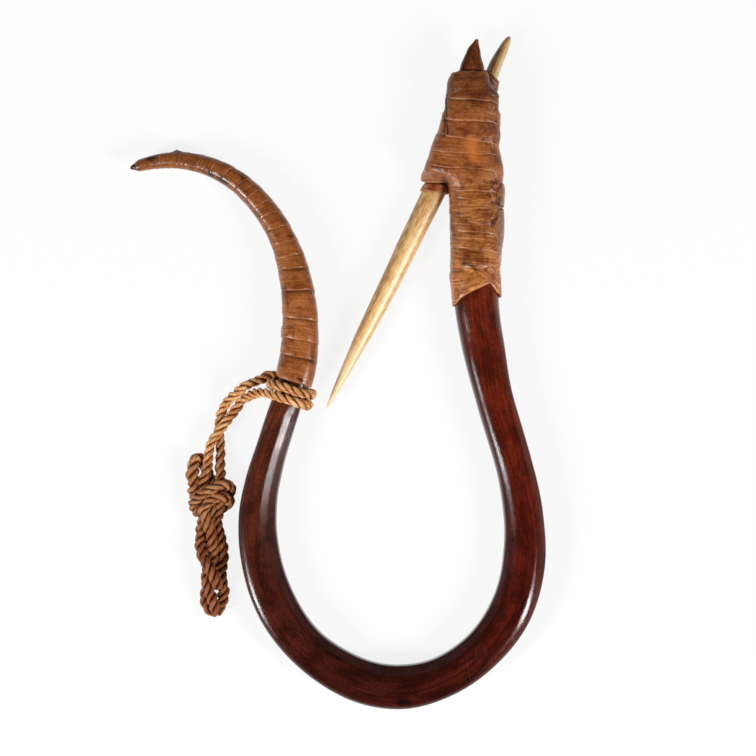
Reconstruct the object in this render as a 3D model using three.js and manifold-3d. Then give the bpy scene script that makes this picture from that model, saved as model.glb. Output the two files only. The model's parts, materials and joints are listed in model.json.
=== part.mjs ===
// A bentwood halibut hook with a lashed bone barb, bark bindings and a knotted leader cord.
// Millimetres. The hook lies on its back: +Z is toward the viewer, +Y runs up the arms, +X to the barb's arm.
// The wood is measured along its middle line, from the curled left tip round the bend to the right point.

import * as THREE from 'three';
import { mergeVertices } from 'three/addons/utils/BufferGeometryUtils.js';
import Module from 'manifold-3d';

const wasm = await Module();
wasm.setup();

// Clearances: beside a cut seat, under anything wound, between turns, above the surface it lies on,
// and what a strip wound round wood and barb together stands off besides
const SEAT_GAP = 0.3;
const WOUND_GAP = 0.45;
const TURN_GAP = 0.65;
const GROUND_CLEARANCE = 0.1;
const CROSSING_LIFT = 0.2;

// Bark strip and cord
const STRIP_THICKNESS = 0.7;
const FINE_STRIP_THICKNESS = 0.4;
const CORD_DIAMETER = 3.5;

// Bone barb
const BARB_LENGTH = 157;
const BARB_DIAMETER = 8.6;
const BARB_STUB_DIAMETER = 5.6;
const BARB_LEAN = 26.3;
const BARB_TOP = [ 65.7, 127.1 ];

// Wood: half widths, heights of back and front
const TIP_HALF = 1.2;
const CURL_HALF = 2.6;
const NECK_HALF = 5.7;
const BEND_HALF = 8.3;
const ARM_HALF = 7.0;
const HEAD_HALF = 8.6;
const POINT_HALF = 4.6;
const CHEEK_HALF = 15.2;
const WOOD_FRONT = 14.5;
const HEAD_FRONT = 17;
const CORE_POWER = 2.8;
const BACK_FLATTENING = 1.12;

// Windings: where each starts along its core, its turns and the pitch of its turns.
// Where one lashing takes over from another, its strip carries on where that one ends.
const TIP_WHIPPING = { start: 3.2, turns: 12, pitch: 1.3 };
const LEFT_UPPER = { start: 19.6, turns: 9, pitch: 6.9 };
const LEFT_LOWER = { start: nextStart( LEFT_UPPER ), turns: 4.65, pitch: 8.0 };
const FOOT_BAND = { start: 446.4, tilt: 5.1, width: 6.2 };
const RIGHT_LOWER = { start: bandEnd( FOOT_BAND ), turns: 4, pitch: 5.9 };
const BARE_BELOW_CHEEK = 2.1;
const RIGHT_MIDDLE = { start: nextStart( RIGHT_LOWER ) + BARE_BELOW_CHEEK, turns: 3, pitch: 5.4 };
const RIGHT_UPPER = { start: nextStart( RIGHT_MIDDLE ), turns: 2.45, pitch: 6.1 };
const POINT_PITCH = 3.9;
const POINT_LASHING = { start: startAbove( RIGHT_UPPER, POINT_PITCH ), turns: 1.75, pitch: POINT_PITCH };
const BARB_ROOT = { start: 66.0, turns: 1.6, pitch: 2.9 };
const BARB_STUB = { start: 16.0, turns: 1.6, pitch: 2.9 };

// Strip ends that lie on a lashing: place along it, width, and the share of the way round that they cover
const STRIP_END_TAB = { middle: LEFT_LOWER.start + 22.3, width: 3.8, from: 0.02, to: 0.2 };
const FOLDED_STRIP_END = { middle: RIGHT_LOWER.start + 8.8, width: 18.4, from: - 0.04, to: 0.12 };
const UPPER_STRIP_END = { middle: nextStart( RIGHT_LOWER ) - 0.4, width: 8.2, from: - 0.04, to: 0.12 };

// Fineness of the meshes
const CORE_SIDES = 20;
const ARM_STEP = 7.5;
const HEAD_STEP = 2.6;
const HEAD_LEAD = 14;
const BARB_SIDES = 16;
const TURN_STEPS = 24;
const FINE_TURN_STEPS = 14;
const OUTLINE_NORMALS = 72;
const TURNING_WEIGHT = 0.5;
const CORD_SIDES = 8;
const SMOOTHING_SWEEPS = 60;

// Share of a turn that a strip stops short of the strip that carries on
const END_SHARE = 0.03;

// Heights that follow from the sizes above
const CORD_RADIUS = CORD_DIAMETER / 2;
const STRIP_SEAT = WOUND_GAP + STRIP_THICKNESS;
const LASHED_BACK = GROUND_CLEARANCE + STRIP_SEAT;
const NECK_BACK = GROUND_CLEARANCE + CORD_DIAMETER + WOUND_GAP;
const NECK_FRONT = NECK_BACK + 2 * NECK_HALF;
const BARB_RADIUS = BARB_DIAMETER / 2;
const BARB_HEIGHT = LASHED_BACK + SEAT_GAP + BARB_RADIUS;
const BED_BACK = BARB_HEIGHT + SEAT_GAP;
const POINT_BACK = BARB_HEIGHT + BARB_STUB_DIAMETER / 2 + 2 * STRIP_SEAT + SEAT_GAP;

const MATERIALS = {
	wood: new THREE.MeshStandardMaterial( { color: 0x4a1c12, roughness: 0.3 } ),
	bark: new THREE.MeshStandardMaterial( { color: 0x9a5a34, roughness: 0.55 } ),
	bone: new THREE.MeshStandardMaterial( { color: 0xdfc48c, roughness: 0.5 } ),
	fibre: new THREE.MeshStandardMaterial( { color: 0xc48a4e, roughness: 0.9 } )
};

const hook = new THREE.Group();

// Where the strip that carries on after a winding starts.
function nextStart( { start, turns, pitch } ) {

	return start + turns * pitch;

}

// Where a winding of another pitch starts above one that ends half way round.
function startAbove( below, pitch ) {

	return nextStart( below ) + below.pitch - pitch / 2;

}

// Where the winding above the crossing band starts.
function bandEnd( { start, tilt, width } ) {

	return start + width + 2 * tilt + 2 * TURN_GAP;

}

function addPiece( name, geometry, material ) {

	const mesh = new THREE.Mesh( geometry, material );
	mesh.name = name;
	hook.add( mesh );

}

// Keeps positions only, joins shared vertices and turns the faces outward.
function closed( geometry ) {

	geometry.deleteAttribute( 'normal' );
	geometry.deleteAttribute( 'uv' );
	const merged = mergeVertices( geometry, 1e-4 );
	const index = merged.index.array;
	const point = merged.attributes.position;
	const [ a, b, c ] = [ new THREE.Vector3(), new THREE.Vector3(), new THREE.Vector3() ];
	let volume = 0;
	for ( let i = 0; i < index.length; i += 3 ) {

		a.fromBufferAttribute( point, index[ i ] );
		b.fromBufferAttribute( point, index[ i + 1 ] );
		c.fromBufferAttribute( point, index[ i + 2 ] );
		volume += a.dot( b.cross( c ) );

	}

	if ( volume < 0 ) {

		for ( let i = 0; i < index.length; i += 3 ) {

			[ index[ i ], index[ i + 1 ] ] = [ index[ i + 1 ], index[ i ] ];

		}

	}

	return merged;

}

function toSolid( geometry ) {

	return new wasm.Manifold( new wasm.Mesh( {
		numProp: 3,
		vertProperties: geometry.attributes.position.array,
		triVerts: Uint32Array.from( geometry.index.array )
	} ) );

}

function toGeometry( solid ) {

	const mesh = solid.getMesh();
	const geometry = new THREE.BufferGeometry();
	geometry.setAttribute( 'position', new THREE.BufferAttribute( Float32Array.from( mesh.vertProperties ), 3 ) );
	geometry.setIndex( Array.from( mesh.triVerts ) );
	return geometry;

}

// Joins rings of equally many points into one closed body, with a flat cap at each end.
function sweep( rings ) {

	const sides = rings[ 0 ].length;
	const last = ( rings.length - 1 ) * sides;
	const index = [];
	for ( let r = 0; r < rings.length - 1; r ++ ) {

		for ( let k = 0; k < sides; k ++ ) {

			const here = r * sides + k;
			const beside = r * sides + ( k + 1 ) % sides;
			index.push( here, beside, beside + sides );
			index.push( here, beside + sides, here + sides );

		}

	}

	for ( let k = 1; k < sides - 1; k ++ ) {

		index.push( 0, k + 1, k );
		index.push( last, last + k, last + k + 1 );

	}

	const geometry = new THREE.BufferGeometry().setFromPoints( rings.flat() );
	geometry.setIndex( index );
	return closed( geometry );

}

// The wood's stations: place of the middle line, half width to the bend's inner and outer side, back, front
const LEFT_ARM = [
	[ - 78.8, 77.8, TIP_HALF, TIP_HALF, 6.6, 9.0 ],
	[ - 75.0, 78.9, 1.5, 1.5, 6.2, 9.3 ],
	[ - 63.1, 80.8, 2.2, 2.2, 5.8, 10.4 ],
	[ - 50.4, 79.0, CURL_HALF, CURL_HALF, 5.7, 11.0 ],
	[ - 40.9, 74.7, 3.0, 3.0, 5.5, 11.6 ],
	[ - 29.6, 64.8, 3.5, 3.5, 5.3, 12.4 ],
	[ - 21.3, 52.2, 4.0, 4.0, 5.0, 13.2 ],
	[ - 16.5, 38.7, 4.9, 4.9, 4.7, 14.2 ],
	[ - 14.0, 20.1, 5.7, 5.7, 4.3, NECK_FRONT ],
	[ - 15.5, 1.0, 6.3, 6.3, NECK_BACK, NECK_FRONT ],
	[ - 17.5, - 6.5, NECK_HALF, NECK_HALF, NECK_BACK, NECK_FRONT ],
	[ - 20.2, - 14.5, NECK_HALF + 0.2, NECK_HALF + 0.2, NECK_BACK, NECK_FRONT ],
	[ - 24.4, - 27.4, NECK_HALF + 0.3, NECK_HALF + 0.3, 0, WOOD_FRONT ]
];
const BEND = [
	[ - 28.6, - 42.5, 6.6, 6.6, 0, WOOD_FRONT ],
	[ - 30.25, - 55.5, 7.2, 7.2, 0, WOOD_FRONT ],
	[ - 29.3, - 68.5, 7.5, 7.5, 0, WOOD_FRONT ],
	[ - 21.5, - 90.8, 8.1, 8.1, 0, WOOD_FRONT ],
	[ - 3.7, - 109.6, 8.4, 8.4, 0, WOOD_FRONT ],
	[ 10.0, - 117.1, BEND_HALF, BEND_HALF, 0, WOOD_FRONT ],
	[ 24.8, - 119.2, BEND_HALF, BEND_HALF, 0, WOOD_FRONT ],
	[ 39.7, - 115.6, 7.7, 7.7, 0, WOOD_FRONT ],
	[ 55.3, - 104.9, 7.6, 7.6, 0, WOOD_FRONT ],
	[ 66.4, - 89.1, 8.1, 8.1, 0, WOOD_FRONT ],
	[ 71.0, - 70.5, 8.1, 8.1, 0, WOOD_FRONT ]
];
const RIGHT_ARM = [
	[ 70.8, - 54.9, 7.5, 7.5, 0, WOOD_FRONT ],
	[ 67.3, - 35.6, ARM_HALF, ARM_HALF, 0, WOOD_FRONT ],
	[ 59.8, - 9.9, ARM_HALF + 0.1, ARM_HALF + 0.1, 0, WOOD_FRONT ],
	[ 55.1, 12.0, 8.1, 8.1, 0, WOOD_FRONT + 0.7 ],
	[ 52.9, 27.0, HEAD_HALF - 0.2, HEAD_HALF - 0.2, LASHED_BACK, HEAD_FRONT - 0.8 ],
	[ 52.5, 45.0, HEAD_HALF, HEAD_HALF, LASHED_BACK, HEAD_FRONT ],
	[ 52.4, 62.0, HEAD_HALF + 0.2, HEAD_HALF + 0.4, LASHED_BACK + 0.4, HEAD_FRONT ],
	[ 52.3, 70.5, HEAD_HALF + 0.4, HEAD_HALF + 0.9, LASHED_BACK + 2.4, HEAD_FRONT + 0.3 ],
	[ 52.15, 77.0, CHEEK_HALF + 0.3, HEAD_HALF + 1.3, BED_BACK, HEAD_FRONT + 0.5 ],
	[ 51.9, 84.7, CHEEK_HALF + 0.3, HEAD_HALF - 0.1, BED_BACK, HEAD_FRONT + 0.5 ],
	[ 51.55, 94.6, CHEEK_HALF - 3.0, HEAD_HALF + 0.1, BED_BACK + 0.5, HEAD_FRONT + 0.3 ],
	[ 51.15, 104.0, HEAD_HALF + 0.3, HEAD_HALF + 1.0, POINT_BACK - 1, HEAD_FRONT + 0.3 ],
	[ 51.0, 109.0, HEAD_HALF - 1.3, POINT_HALF + 1.2, POINT_BACK, HEAD_FRONT + 0.2 ],
	[ 51.05, 115.0, POINT_HALF, POINT_HALF, POINT_BACK, HEAD_FRONT ],
	[ 51.7, 121.5, POINT_HALF - 2.0, POINT_HALF - 2.0, POINT_BACK + 0.6, HEAD_FRONT - 1.2 ],
	[ 52.9, 126.0, 0.6, 0.6, POINT_BACK + 1.6, HEAD_FRONT - 2.6 ]
];
const STATIONS = [ ...LEFT_ARM, ...BEND, ...RIGHT_ARM ];

// A curve through given points whose bending changes smoothly, as a bent rod's does.
class BentLine extends THREE.Curve {

	constructor( points ) {

		super();
		this.points = points;
		this.knots = [ 0 ];
		for ( let k = 1; k < points.length; k ++ ) {

			this.knots.push( this.knots[ k - 1 ] + points[ k ].distanceTo( points[ k - 1 ] ) );

		}

		this.bends = points.map( () => new THREE.Vector3() );
		for ( let sweep = 0; sweep < SMOOTHING_SWEEPS; sweep ++ ) {

			for ( let k = 1; k < points.length - 1; k ++ ) this.bends[ k ] = this.balancedBend( k );

		}

	}

	balancedBend( k ) {

		const before = this.knots[ k ] - this.knots[ k - 1 ];
		const after = this.knots[ k + 1 ] - this.knots[ k ];
		const slopeBefore = this.points[ k ].clone().sub( this.points[ k - 1 ] ).divideScalar( before );
		const slopeAfter = this.points[ k + 1 ].clone().sub( this.points[ k ] ).divideScalar( after );
		return slopeAfter.sub( slopeBefore ).multiplyScalar( 6 )
			.addScaledVector( this.bends[ k - 1 ], - before )
			.addScaledVector( this.bends[ k + 1 ], - after )
			.divideScalar( 2 * ( before + after ) );

	}

	// The span that holds t, and the share of that span that lies before it.
	span( t ) {

		const along = t * this.knots[ this.knots.length - 1 ];
		let k = 1;
		while ( k < this.knots.length - 1 && this.knots[ k ] < along ) k ++;
		const length = this.knots[ k ] - this.knots[ k - 1 ];
		return { first: k - 1, length, share: ( along - this.knots[ k - 1 ] ) / length };

	}

	getPoint( t, target = new THREE.Vector3() ) {

		const { first, length, share } = this.span( t );
		const rest = 1 - share;
		return target.set( 0, 0, 0 )
			.addScaledVector( this.points[ first ], rest )
			.addScaledVector( this.points[ first + 1 ], share )
			.addScaledVector( this.bends[ first ], ( rest ** 3 - rest ) * length ** 2 / 6 )
			.addScaledVector( this.bends[ first + 1 ], ( share ** 3 - share ) * length ** 2 / 6 );

	}

}

const middleLine = new BentLine( STATIONS.map( ( [ x, y ] ) => new THREE.Vector3( x, y, 0 ) ) );
middleLine.arcLengthDivisions = 1600;
const middleLength = middleLine.getLength();
const UP = new THREE.Vector3( 0, 0, 1 );
const NORMALS = Array.from( { length: OUTLINE_NORMALS + 1 }, ( _, k ) => {

	const angle = 2 * Math.PI * k / OUTLINE_NORMALS;
	return [ Math.cos( angle ), Math.sin( angle ) ];

} );
const BAND_SAMPLES = [ 0, 0.25, 0.5, 0.75, 1 ];

// One column of the station table at a share of a span, eased at each station.
function stationValue( { first, share }, column ) {

	const eased = 0.5 * share + 0.5 * THREE.MathUtils.smoothstep( share, 0, 1 );
	return THREE.MathUtils.lerp( STATIONS[ first ][ column ], STATIONS[ first + 1 ][ column ], eased );

}

// Everything about the wood at one distance along it from the curled tip.
function woodAt( distance ) {

	const share = THREE.MathUtils.clamp( distance / middleLength, 0, 1 );
	const t = middleLine.getUtoTmapping( share );
	const span = middleLine.span( t );
	const along = middleLine.getTangent( t );
	return {
		centre: middleLine.getPoint( t ),
		along,
		outward: new THREE.Vector3().crossVectors( along, UP ),
		inner: stationValue( span, 2 ),
		outer: stationValue( span, 3 ),
		back: stationValue( span, 4 ),
		front: stationValue( span, 5 )
	};

}

// The wood's section as [ outward, height ] pairs: a rounded block with a flat back.
function woodSection( wood ) {

	const middle = ( wood.back + wood.front ) / 2;
	const half = ( wood.front - wood.back ) / 2;
	const power = 2 / CORE_POWER;
	const section = [];
	for ( let k = 0; k < CORE_SIDES; k ++ ) {

		const angle = 2 * Math.PI * k / CORE_SIDES;
		const across = Math.sign( Math.cos( angle ) ) * Math.abs( Math.cos( angle ) ) ** power;
		const height = Math.sign( Math.sin( angle ) ) * Math.abs( Math.sin( angle ) ) ** power;
		const reach = height < 0 ? BACK_FLATTENING : 1;
		const side = across < 0 ? wood.inner : wood.outer;
		section.push( [ across * side, middle + half * Math.max( height * reach, - 1 ) ] );

	}

	return section;

}

function placed( frame, [ outward, height ] ) {

	return frame.centre.clone().addScaledVector( frame.outward, outward ).setZ( height );

}

function buildWood() {

	const headStart = RIGHT_LOWER.start + HEAD_LEAD;
	const armSteps = Math.round( headStart / ARM_STEP );
	const headSteps = Math.round( ( middleLength - headStart ) / HEAD_STEP );
	const distances = [];
	for ( let k = 0; k < armSteps; k ++ ) distances.push( headStart * k / armSteps );
	for ( let k = 0; k <= headSteps; k ++ ) distances.push( THREE.MathUtils.lerp( headStart, middleLength, k / headSteps ) );
	return sweep( distances.map( distance => {

		const wood = woodAt( distance );
		return woodSection( wood ).map( pair => placed( wood, pair ) );

	} ) );

}

// The barb: radius at each distance from its upper end
const BARB_PROFILE = [
	[ 0, 1.3 ],
	[ 2, 2.1 ],
	[ 9, BARB_STUB_DIAMETER / 2 - 0.1 ],
	[ 16, BARB_STUB_DIAMETER / 2 + 0.1 ],
	[ 31, 3.8 ],
	[ 50, BARB_RADIUS - 0.1 ],
	[ 66, BARB_RADIUS ],
	[ 84, 4.1 ],
	[ 112, 3.5 ],
	[ 127, 2.9 ],
	[ 141, 2.0 ],
	[ 151, 1.1 ],
	[ BARB_LENGTH, 0.3 ]
];
const barbLean = THREE.MathUtils.degToRad( BARB_LEAN );
const barbAxis = new THREE.Vector3( - Math.sin( barbLean ), - Math.cos( barbLean ), 0 );
const barbStart = new THREE.Vector3( BARB_TOP[ 0 ], BARB_TOP[ 1 ], BARB_HEIGHT );

function barbRadius( distance ) {

	for ( let k = 1; k < BARB_PROFILE.length; k ++ ) {

		const [ before, thin ] = BARB_PROFILE[ k - 1 ];
		const [ after, thick ] = BARB_PROFILE[ k ];
		if ( distance <= after ) return THREE.MathUtils.mapLinear( distance, before, after, thin, thick );

	}

	return 0;

}

function buildBarb( clearance ) {

	const outline = BARB_PROFILE.map( ( [ distance, radius ] ) => new THREE.Vector2( radius + clearance, distance ) );
	outline.unshift( new THREE.Vector2( 0, - clearance ) );
	outline.push( new THREE.Vector2( 0, BARB_LENGTH + clearance ) );
	const geometry = new THREE.LatheGeometry( outline, BARB_SIDES );
	const turn = new THREE.Quaternion().setFromUnitVectors( new THREE.Vector3( 0, 1, 0 ), barbAxis );
	geometry.applyQuaternion( turn );
	geometry.translate( barbStart.x, barbStart.y, barbStart.z );
	return closed( geometry );

}

// The barb's outline where it crosses the wood's section plane, as [ outward, height ] pairs.
function barbSection( frame ) {

	const slope = barbAxis.dot( frame.along );
	const distance = frame.centre.clone().sub( barbStart ).dot( frame.along ) / slope;
	if ( distance < 0 || distance > BARB_LENGTH ) return [];
	const crossing = barbStart.clone().addScaledVector( barbAxis, distance ).sub( frame.centre );
	const radius = barbRadius( distance );
	const section = [];
	for ( let k = 0; k < BARB_SIDES; k ++ ) {

		const angle = 2 * Math.PI * k / BARB_SIDES;
		const outward = crossing.dot( frame.outward ) + radius * Math.cos( angle ) / Math.abs( slope );
		section.push( [ outward, BARB_HEIGHT + radius * Math.sin( angle ) ] );

	}

	return section;

}

// What a strip can be wound round. Each gives its section plane and that section's points.
const core = {
	wood: distance => {

		const frame = woodAt( distance );
		return { frame, section: woodSection( frame ) };

	},
	woodAndBarb: distance => {

		const frame = woodAt( distance );
		return { frame, section: [ ...woodSection( frame ), ...barbSection( frame ) ] };

	},
	barb: distance => {

		const frame = {
			centre: barbStart.clone().addScaledVector( barbAxis, distance ),
			along: barbAxis,
			outward: new THREE.Vector3().crossVectors( barbAxis, UP )
		};
		const radius = barbRadius( distance );
		const section = [];
		for ( let k = 0; k < BARB_SIDES; k ++ ) {

			const angle = 2 * Math.PI * k / BARB_SIDES;
			section.push( [ radius * Math.cos( angle ), BARB_HEIGHT + radius * Math.sin( angle ) ] );

		}

		return { frame, section };

	}
};

// The furthest point of a section in each normal direction.
function supports( section ) {

	return NORMALS.map( ( [ nu, nv ] ) => {

		let point = section[ 0 ];
		let height = - Infinity;
		for ( const next of section ) {

			const reach = next[ 0 ] * nu + next[ 1 ] * nv;
			if ( reach > height ) [ point, height ] = [ next, reach ];

		}

		return { point, height };

	} );

}

// Shares of the way round an outline count turning more than length, so that corners get their steps.
function outlineShares( points ) {

	const lengths = [ 0 ];
	for ( let k = 1; k < points.length; k ++ ) {

		const across = points[ k ][ 0 ] - points[ k - 1 ][ 0 ];
		const high = points[ k ][ 1 ] - points[ k - 1 ][ 1 ];
		lengths.push( lengths[ k - 1 ] + Math.hypot( across, high ) );

	}

	const total = lengths[ lengths.length - 1 ];
	return lengths.map( ( length, k ) => THREE.MathUtils.lerp( length / total, k / OUTLINE_NORMALS, TURNING_WEIGHT ) );

}

// The outlines under a tight band's two edges. What bulges between the edges lifts both of them.
function bandEdges( middle, width, around ) {

	const sections = BAND_SAMPLES.map( share => core[ around ]( middle + ( share - 0.5 ) * width ) );
	const reaches = sections.map( ( { section } ) => supports( section ) );
	const last = sections.length - 1;
	const bulges = NORMALS.map( ( _, k ) => Math.max( 0, ...BAND_SAMPLES.map( ( share, j ) =>
		reaches[ j ][ k ].height - THREE.MathUtils.lerp( reaches[ 0 ][ k ].height, reaches[ last ][ k ].height, share )
	) ) );
	return [ 0, last ].map( edge => {

		const points = reaches[ edge ].map( ( { point }, k ) =>
			[ 0, 1 ].map( axis => point[ axis ] + ( bulges[ k ] + STRIP_SEAT ) * NORMALS[ k ][ axis ] ) );
		return { frame: sections[ edge ].frame, points, shares: outlineShares( points ) };

	} );

}

// The point at a share of the way round, lifted off the core. Share 0 is the outer side, 0.25 the front.
function onOutline( outline, share, lift ) {

	const part = share - Math.floor( share );
	const next = Math.max( 1, outline.shares.findIndex( end => end >= part ) );
	const blend = THREE.MathUtils.mapLinear( part, outline.shares[ next - 1 ], outline.shares[ next ], 0, 1 );
	const mixed = [ 0, 1 ].map( axis => THREE.MathUtils.lerp(
		outline.points[ next - 1 ][ axis ] + ( lift - STRIP_SEAT ) * NORMALS[ next - 1 ][ axis ],
		outline.points[ next ][ axis ] + ( lift - STRIP_SEAT ) * NORMALS[ next ][ axis ],
		blend ) );
	return placed( outline.frame, mixed );

}

// Least distance between points of a winding that lie at least half a turn apart.
function leastGap( rings, turnSteps ) {

	let least = Infinity;
	for ( let a = 0; a < rings.length; a ++ ) {

		for ( let b = a + turnSteps / 2; b < rings.length; b ++ ) {

			for ( const p of rings[ a ] ) for ( const q of rings[ b ] ) least = Math.min( least, p.distanceTo( q ) );

		}

	}

	return least;

}

// One unbroken strip. route( turned ) gives the strip's middle along the core and its extra lift.
function strip( { around, from, to, width, thickness = STRIP_THICKNESS, turnSteps = TURN_STEPS, route } ) {

	const steps = Math.round( ( to - from ) * turnSteps );
	const rings = [];
	for ( let k = 0; k <= steps; k ++ ) {

		const turned = THREE.MathUtils.lerp( from, to, k / steps );
		const { middle, lift } = route( turned );
		const [ low, high ] = bandEdges( middle, width, around );
		const inside = WOUND_GAP + lift;
		rings.push( [
			onOutline( low, turned, inside ),
			onOutline( low, turned, inside + thickness ),
			onOutline( high, turned, inside + thickness ),
			onOutline( high, turned, inside )
		] );

	}

	return rings;

}

function addWinding( name, { start, turns, pitch }, around, fine = {} ) {

	const { thickness, turnSteps = TURN_STEPS } = fine;
	const width = pitch - TURN_GAP;
	const lift = around === 'woodAndBarb' ? CROSSING_LIFT : 0;
	const route = turned => ( { middle: start + width / 2 + pitch * turned, lift } );
	const rings = strip( { around, from: 0, to: turns - END_SHARE, width, thickness, turnSteps, route } );
	console.log( name, 'least gap between turns', leastGap( rings, turnSteps ).toFixed( 2 ) );
	addPiece( name, sweep( rings ), MATERIALS.bark );

}

// The foot band crosses over itself at the front: down to the inner side, level behind, then up again on top.
function addFootBand() {

	const { start, tilt, width } = FOOT_BAND;
	const level = start + width / 2 + tilt;
	const rise = [ 0.85, 1.05 ];
	const fall = [ 1.45, 1.65 ];
	const { smoothstep } = THREE.MathUtils;
	const route = turned => {

		const onTop = turned >= 1;
		const swing = turned % 1 < 0.5 ? Math.cos( 2 * Math.PI * turned ) : - 1;
		const raised = smoothstep( turned, ...rise ) - smoothstep( turned, ...fall );
		return { middle: level + ( onTop ? - swing : swing ) * tilt, lift: raised * ( STRIP_THICKNESS + TURN_GAP ) };

	};
	const rings = strip( { around: 'wood', from: END_SHARE, to: 2 - 2 * END_SHARE, width, route } );
	console.log( 'foot_band', 'least gap between turns', leastGap( rings, TURN_STEPS ).toFixed( 2 ) );
	addPiece( 'foot_band', sweep( rings ), MATERIALS.bark );

}

// A cut strip end that lies on top of a winding over a short part of the way round.
function addStripEnd( name, { middle, width, from, to } ) {

	const rings = strip( { around: 'wood', from, to, width, route: () => ( { middle, lift: STRIP_SEAT } ) } );
	addPiece( name, sweep( rings ), MATERIALS.bark );

}

// The leader cord: one cord, from its short end through the knot, up a leg, round the neck and back
const NECK_TURNS = { lower: 133.4, pitch: CORD_DIAMETER + 0.5, from: 0.12, to: 1.88, steps: 28 };
const SHORT_END = [
	[ - 44.1, - 82.1, 8.0 ], [ - 46.4, - 77.5, 8.6 ], [ - 49.1, - 73.3, 8.4 ], [ - 52.1, - 69.2, 6.2 ],
	[ - 53.4, - 64.6, 4.6 ], [ - 52.9, - 60.0, 4.8 ], [ - 51.6, - 55.5, 5.4 ]
];
const KNOT_TO_INNER_LEG = [ [ - 51.5, - 51.3, 5.4 ], [ - 51.5, - 47.1, 5.4 ], [ - 51.4, - 42.9, 5.6 ] ];
const INNER_LEG = [
	[ - 50.4, - 39.1, 6.2 ], [ - 49.2, - 33.8, 5.8 ], [ - 48.7, - 29.3, 5.2 ], [ - 47.4, - 25.5, 5.6 ],
	[ - 44.3, - 21.3, 6.0 ], [ - 41.9, - 18.1, 4.6 ], [ - 39.8, - 15.4, 2.8 ], [ - 38.2, - 12.9, 2.6 ],
	[ - 36.3, - 10.2, 3.6 ], [ - 34.2, - 9.0, 5.6 ], [ - 31.6, - 7.9, 8.8 ], [ - 29.0, - 7.3, 11.8 ]
];
const OUTER_LEG = [
	[ - 25.8, - 0.9, 4.6 ], [ - 28.9, - 2.4, 6.4 ], [ - 31.8, - 3.6, 7.2 ], [ - 35.0, - 4.9, 8.2 ],
	[ - 38.3, - 7.6, 7.0 ], [ - 41.5, - 10.4, 4.4 ], [ - 43.8, - 13.7, 2.6 ], [ - 44.9, - 17.5, 1.9 ],
	[ - 45.5, - 21.7, 1.9 ], [ - 44.9, - 25.8, 1.9 ], [ - 44.7, - 30.0, 2.2 ], [ - 44.7, - 34.6, 3.5 ],
	[ - 44.5, - 39.5, 5.0 ]
];
const KNOT_TO_LOOP = [ [ - 44.3, - 44.1, 5.4 ], [ - 44.3, - 48.6, 5.4 ], [ - 45.1, - 52.8, 5.3 ] ];
const TAIL_LOOP = [
	[ - 45.7, - 56.4, 5.0 ], [ - 44.5, - 60.8, 4.4 ], [ - 43.2, - 65.7, 3.8 ], [ - 43.0, - 71.1, 3.0 ],
	[ - 43.8, - 76.0, 2.2 ], [ - 43.0, - 80.6, 2.2 ], [ - 42.6, - 84.7, 2.4 ], [ - 44.0, - 88.9, 2.6 ],
	[ - 47.4, - 90.8, 2.4 ], [ - 50.4, - 88.9, 2.2 ], [ - 51.2, - 84.7, 2.0 ], [ - 50.0, - 80.2, 1.9 ],
	[ - 48.0, - 76.0, 1.9 ], [ - 47.2, - 71.8, 1.9 ], [ - 48.3, - 67.3, 1.9 ], [ - 48.9, - 62.7, 2.6 ],
	[ - 48.6, - 58.1, 4.0 ]
];
const KNOT_TO_EAR = [ [ - 47.9, - 54.0, 5.3 ], [ - 47.9, - 48.6, 5.4 ], [ - 47.6, - 43.7, 4.6 ] ];
const EAR_LOOP = [
	[ - 48.7, - 39.5, 2.0 ], [ - 51.2, - 35.6, 1.9 ], [ - 53.3, - 33.2, 2.6 ], [ - 55.4, - 33.0, 3.8 ],
	[ - 56.5, - 35.6, 5.0 ], [ - 56.6, - 39.5, 5.6 ], [ - 55.7, - 43.7, 5.4 ]
];
const KNOT_WRAPS = [
	[ - 54.2, - 47.7, 2.4 ], [ - 50.2, - 49.6, 2.0 ], [ - 46.0, - 49.0, 2.0 ], [ - 42.0, - 46.9, 2.8 ],
	[ - 40.6, - 44.6, 5.2 ], [ - 41.3, - 42.6, 7.8 ], [ - 43.8, - 42.2, 9.0 ], [ - 47.6, - 44.1, 9.2 ],
	[ - 51.6, - 46.7, 8.8 ], [ - 54.8, - 49.6, 6.0 ], [ - 53.8, - 52.8, 2.8 ], [ - 49.8, - 53.3, 2.0 ],
	[ - 45.7, - 52.3, 1.9 ], [ - 41.9, - 50.2, 3.4 ], [ - 41.3, - 47.9, 6.4 ], [ - 44.5, - 47.0, 8.8 ],
	[ - 48.3, - 48.8, 9.1 ], [ - 50.4, - 51.9, 8.8 ]
];
const LONG_END = [
	[ - 50.0, - 55.5, 8.2 ], [ - 47.9, - 61.9, 6.8 ], [ - 47.0, - 66.5, 5.4 ], [ - 48.2, - 71.1, 4.6 ],
	[ - 50.2, - 75.2, 4.5 ], [ - 50.2, - 79.8, 5.4 ], [ - 48.5, - 84.0, 5.6 ], [ - 46.6, - 88.5, 5.8 ],
	[ - 44.9, - 92.4, 5.0 ]
];

// Two turns round the neck: level over the front, a pitch higher for each time round behind, and away behind.
function neckTurns() {

	const points = [];
	for ( let k = 0; k <= NECK_TURNS.steps; k ++ ) {

		const turned = THREE.MathUtils.lerp( NECK_TURNS.from, NECK_TURNS.to, k / NECK_TURNS.steps );
		const passed = turned - 0.25;
		const climbed = passed - Math.sin( 2 * Math.PI * passed ) / ( 2 * Math.PI );
		const distance = NECK_TURNS.lower - NECK_TURNS.pitch * climbed;
		const [ low, high ] = bandEdges( distance, CORD_DIAMETER, 'wood' ).map( edge =>
			onOutline( edge, turned, WOUND_GAP + CORD_RADIUS ) );
		points.push( low.lerp( high, 0.5 ).toArray() );

	}

	return points;

}

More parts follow.
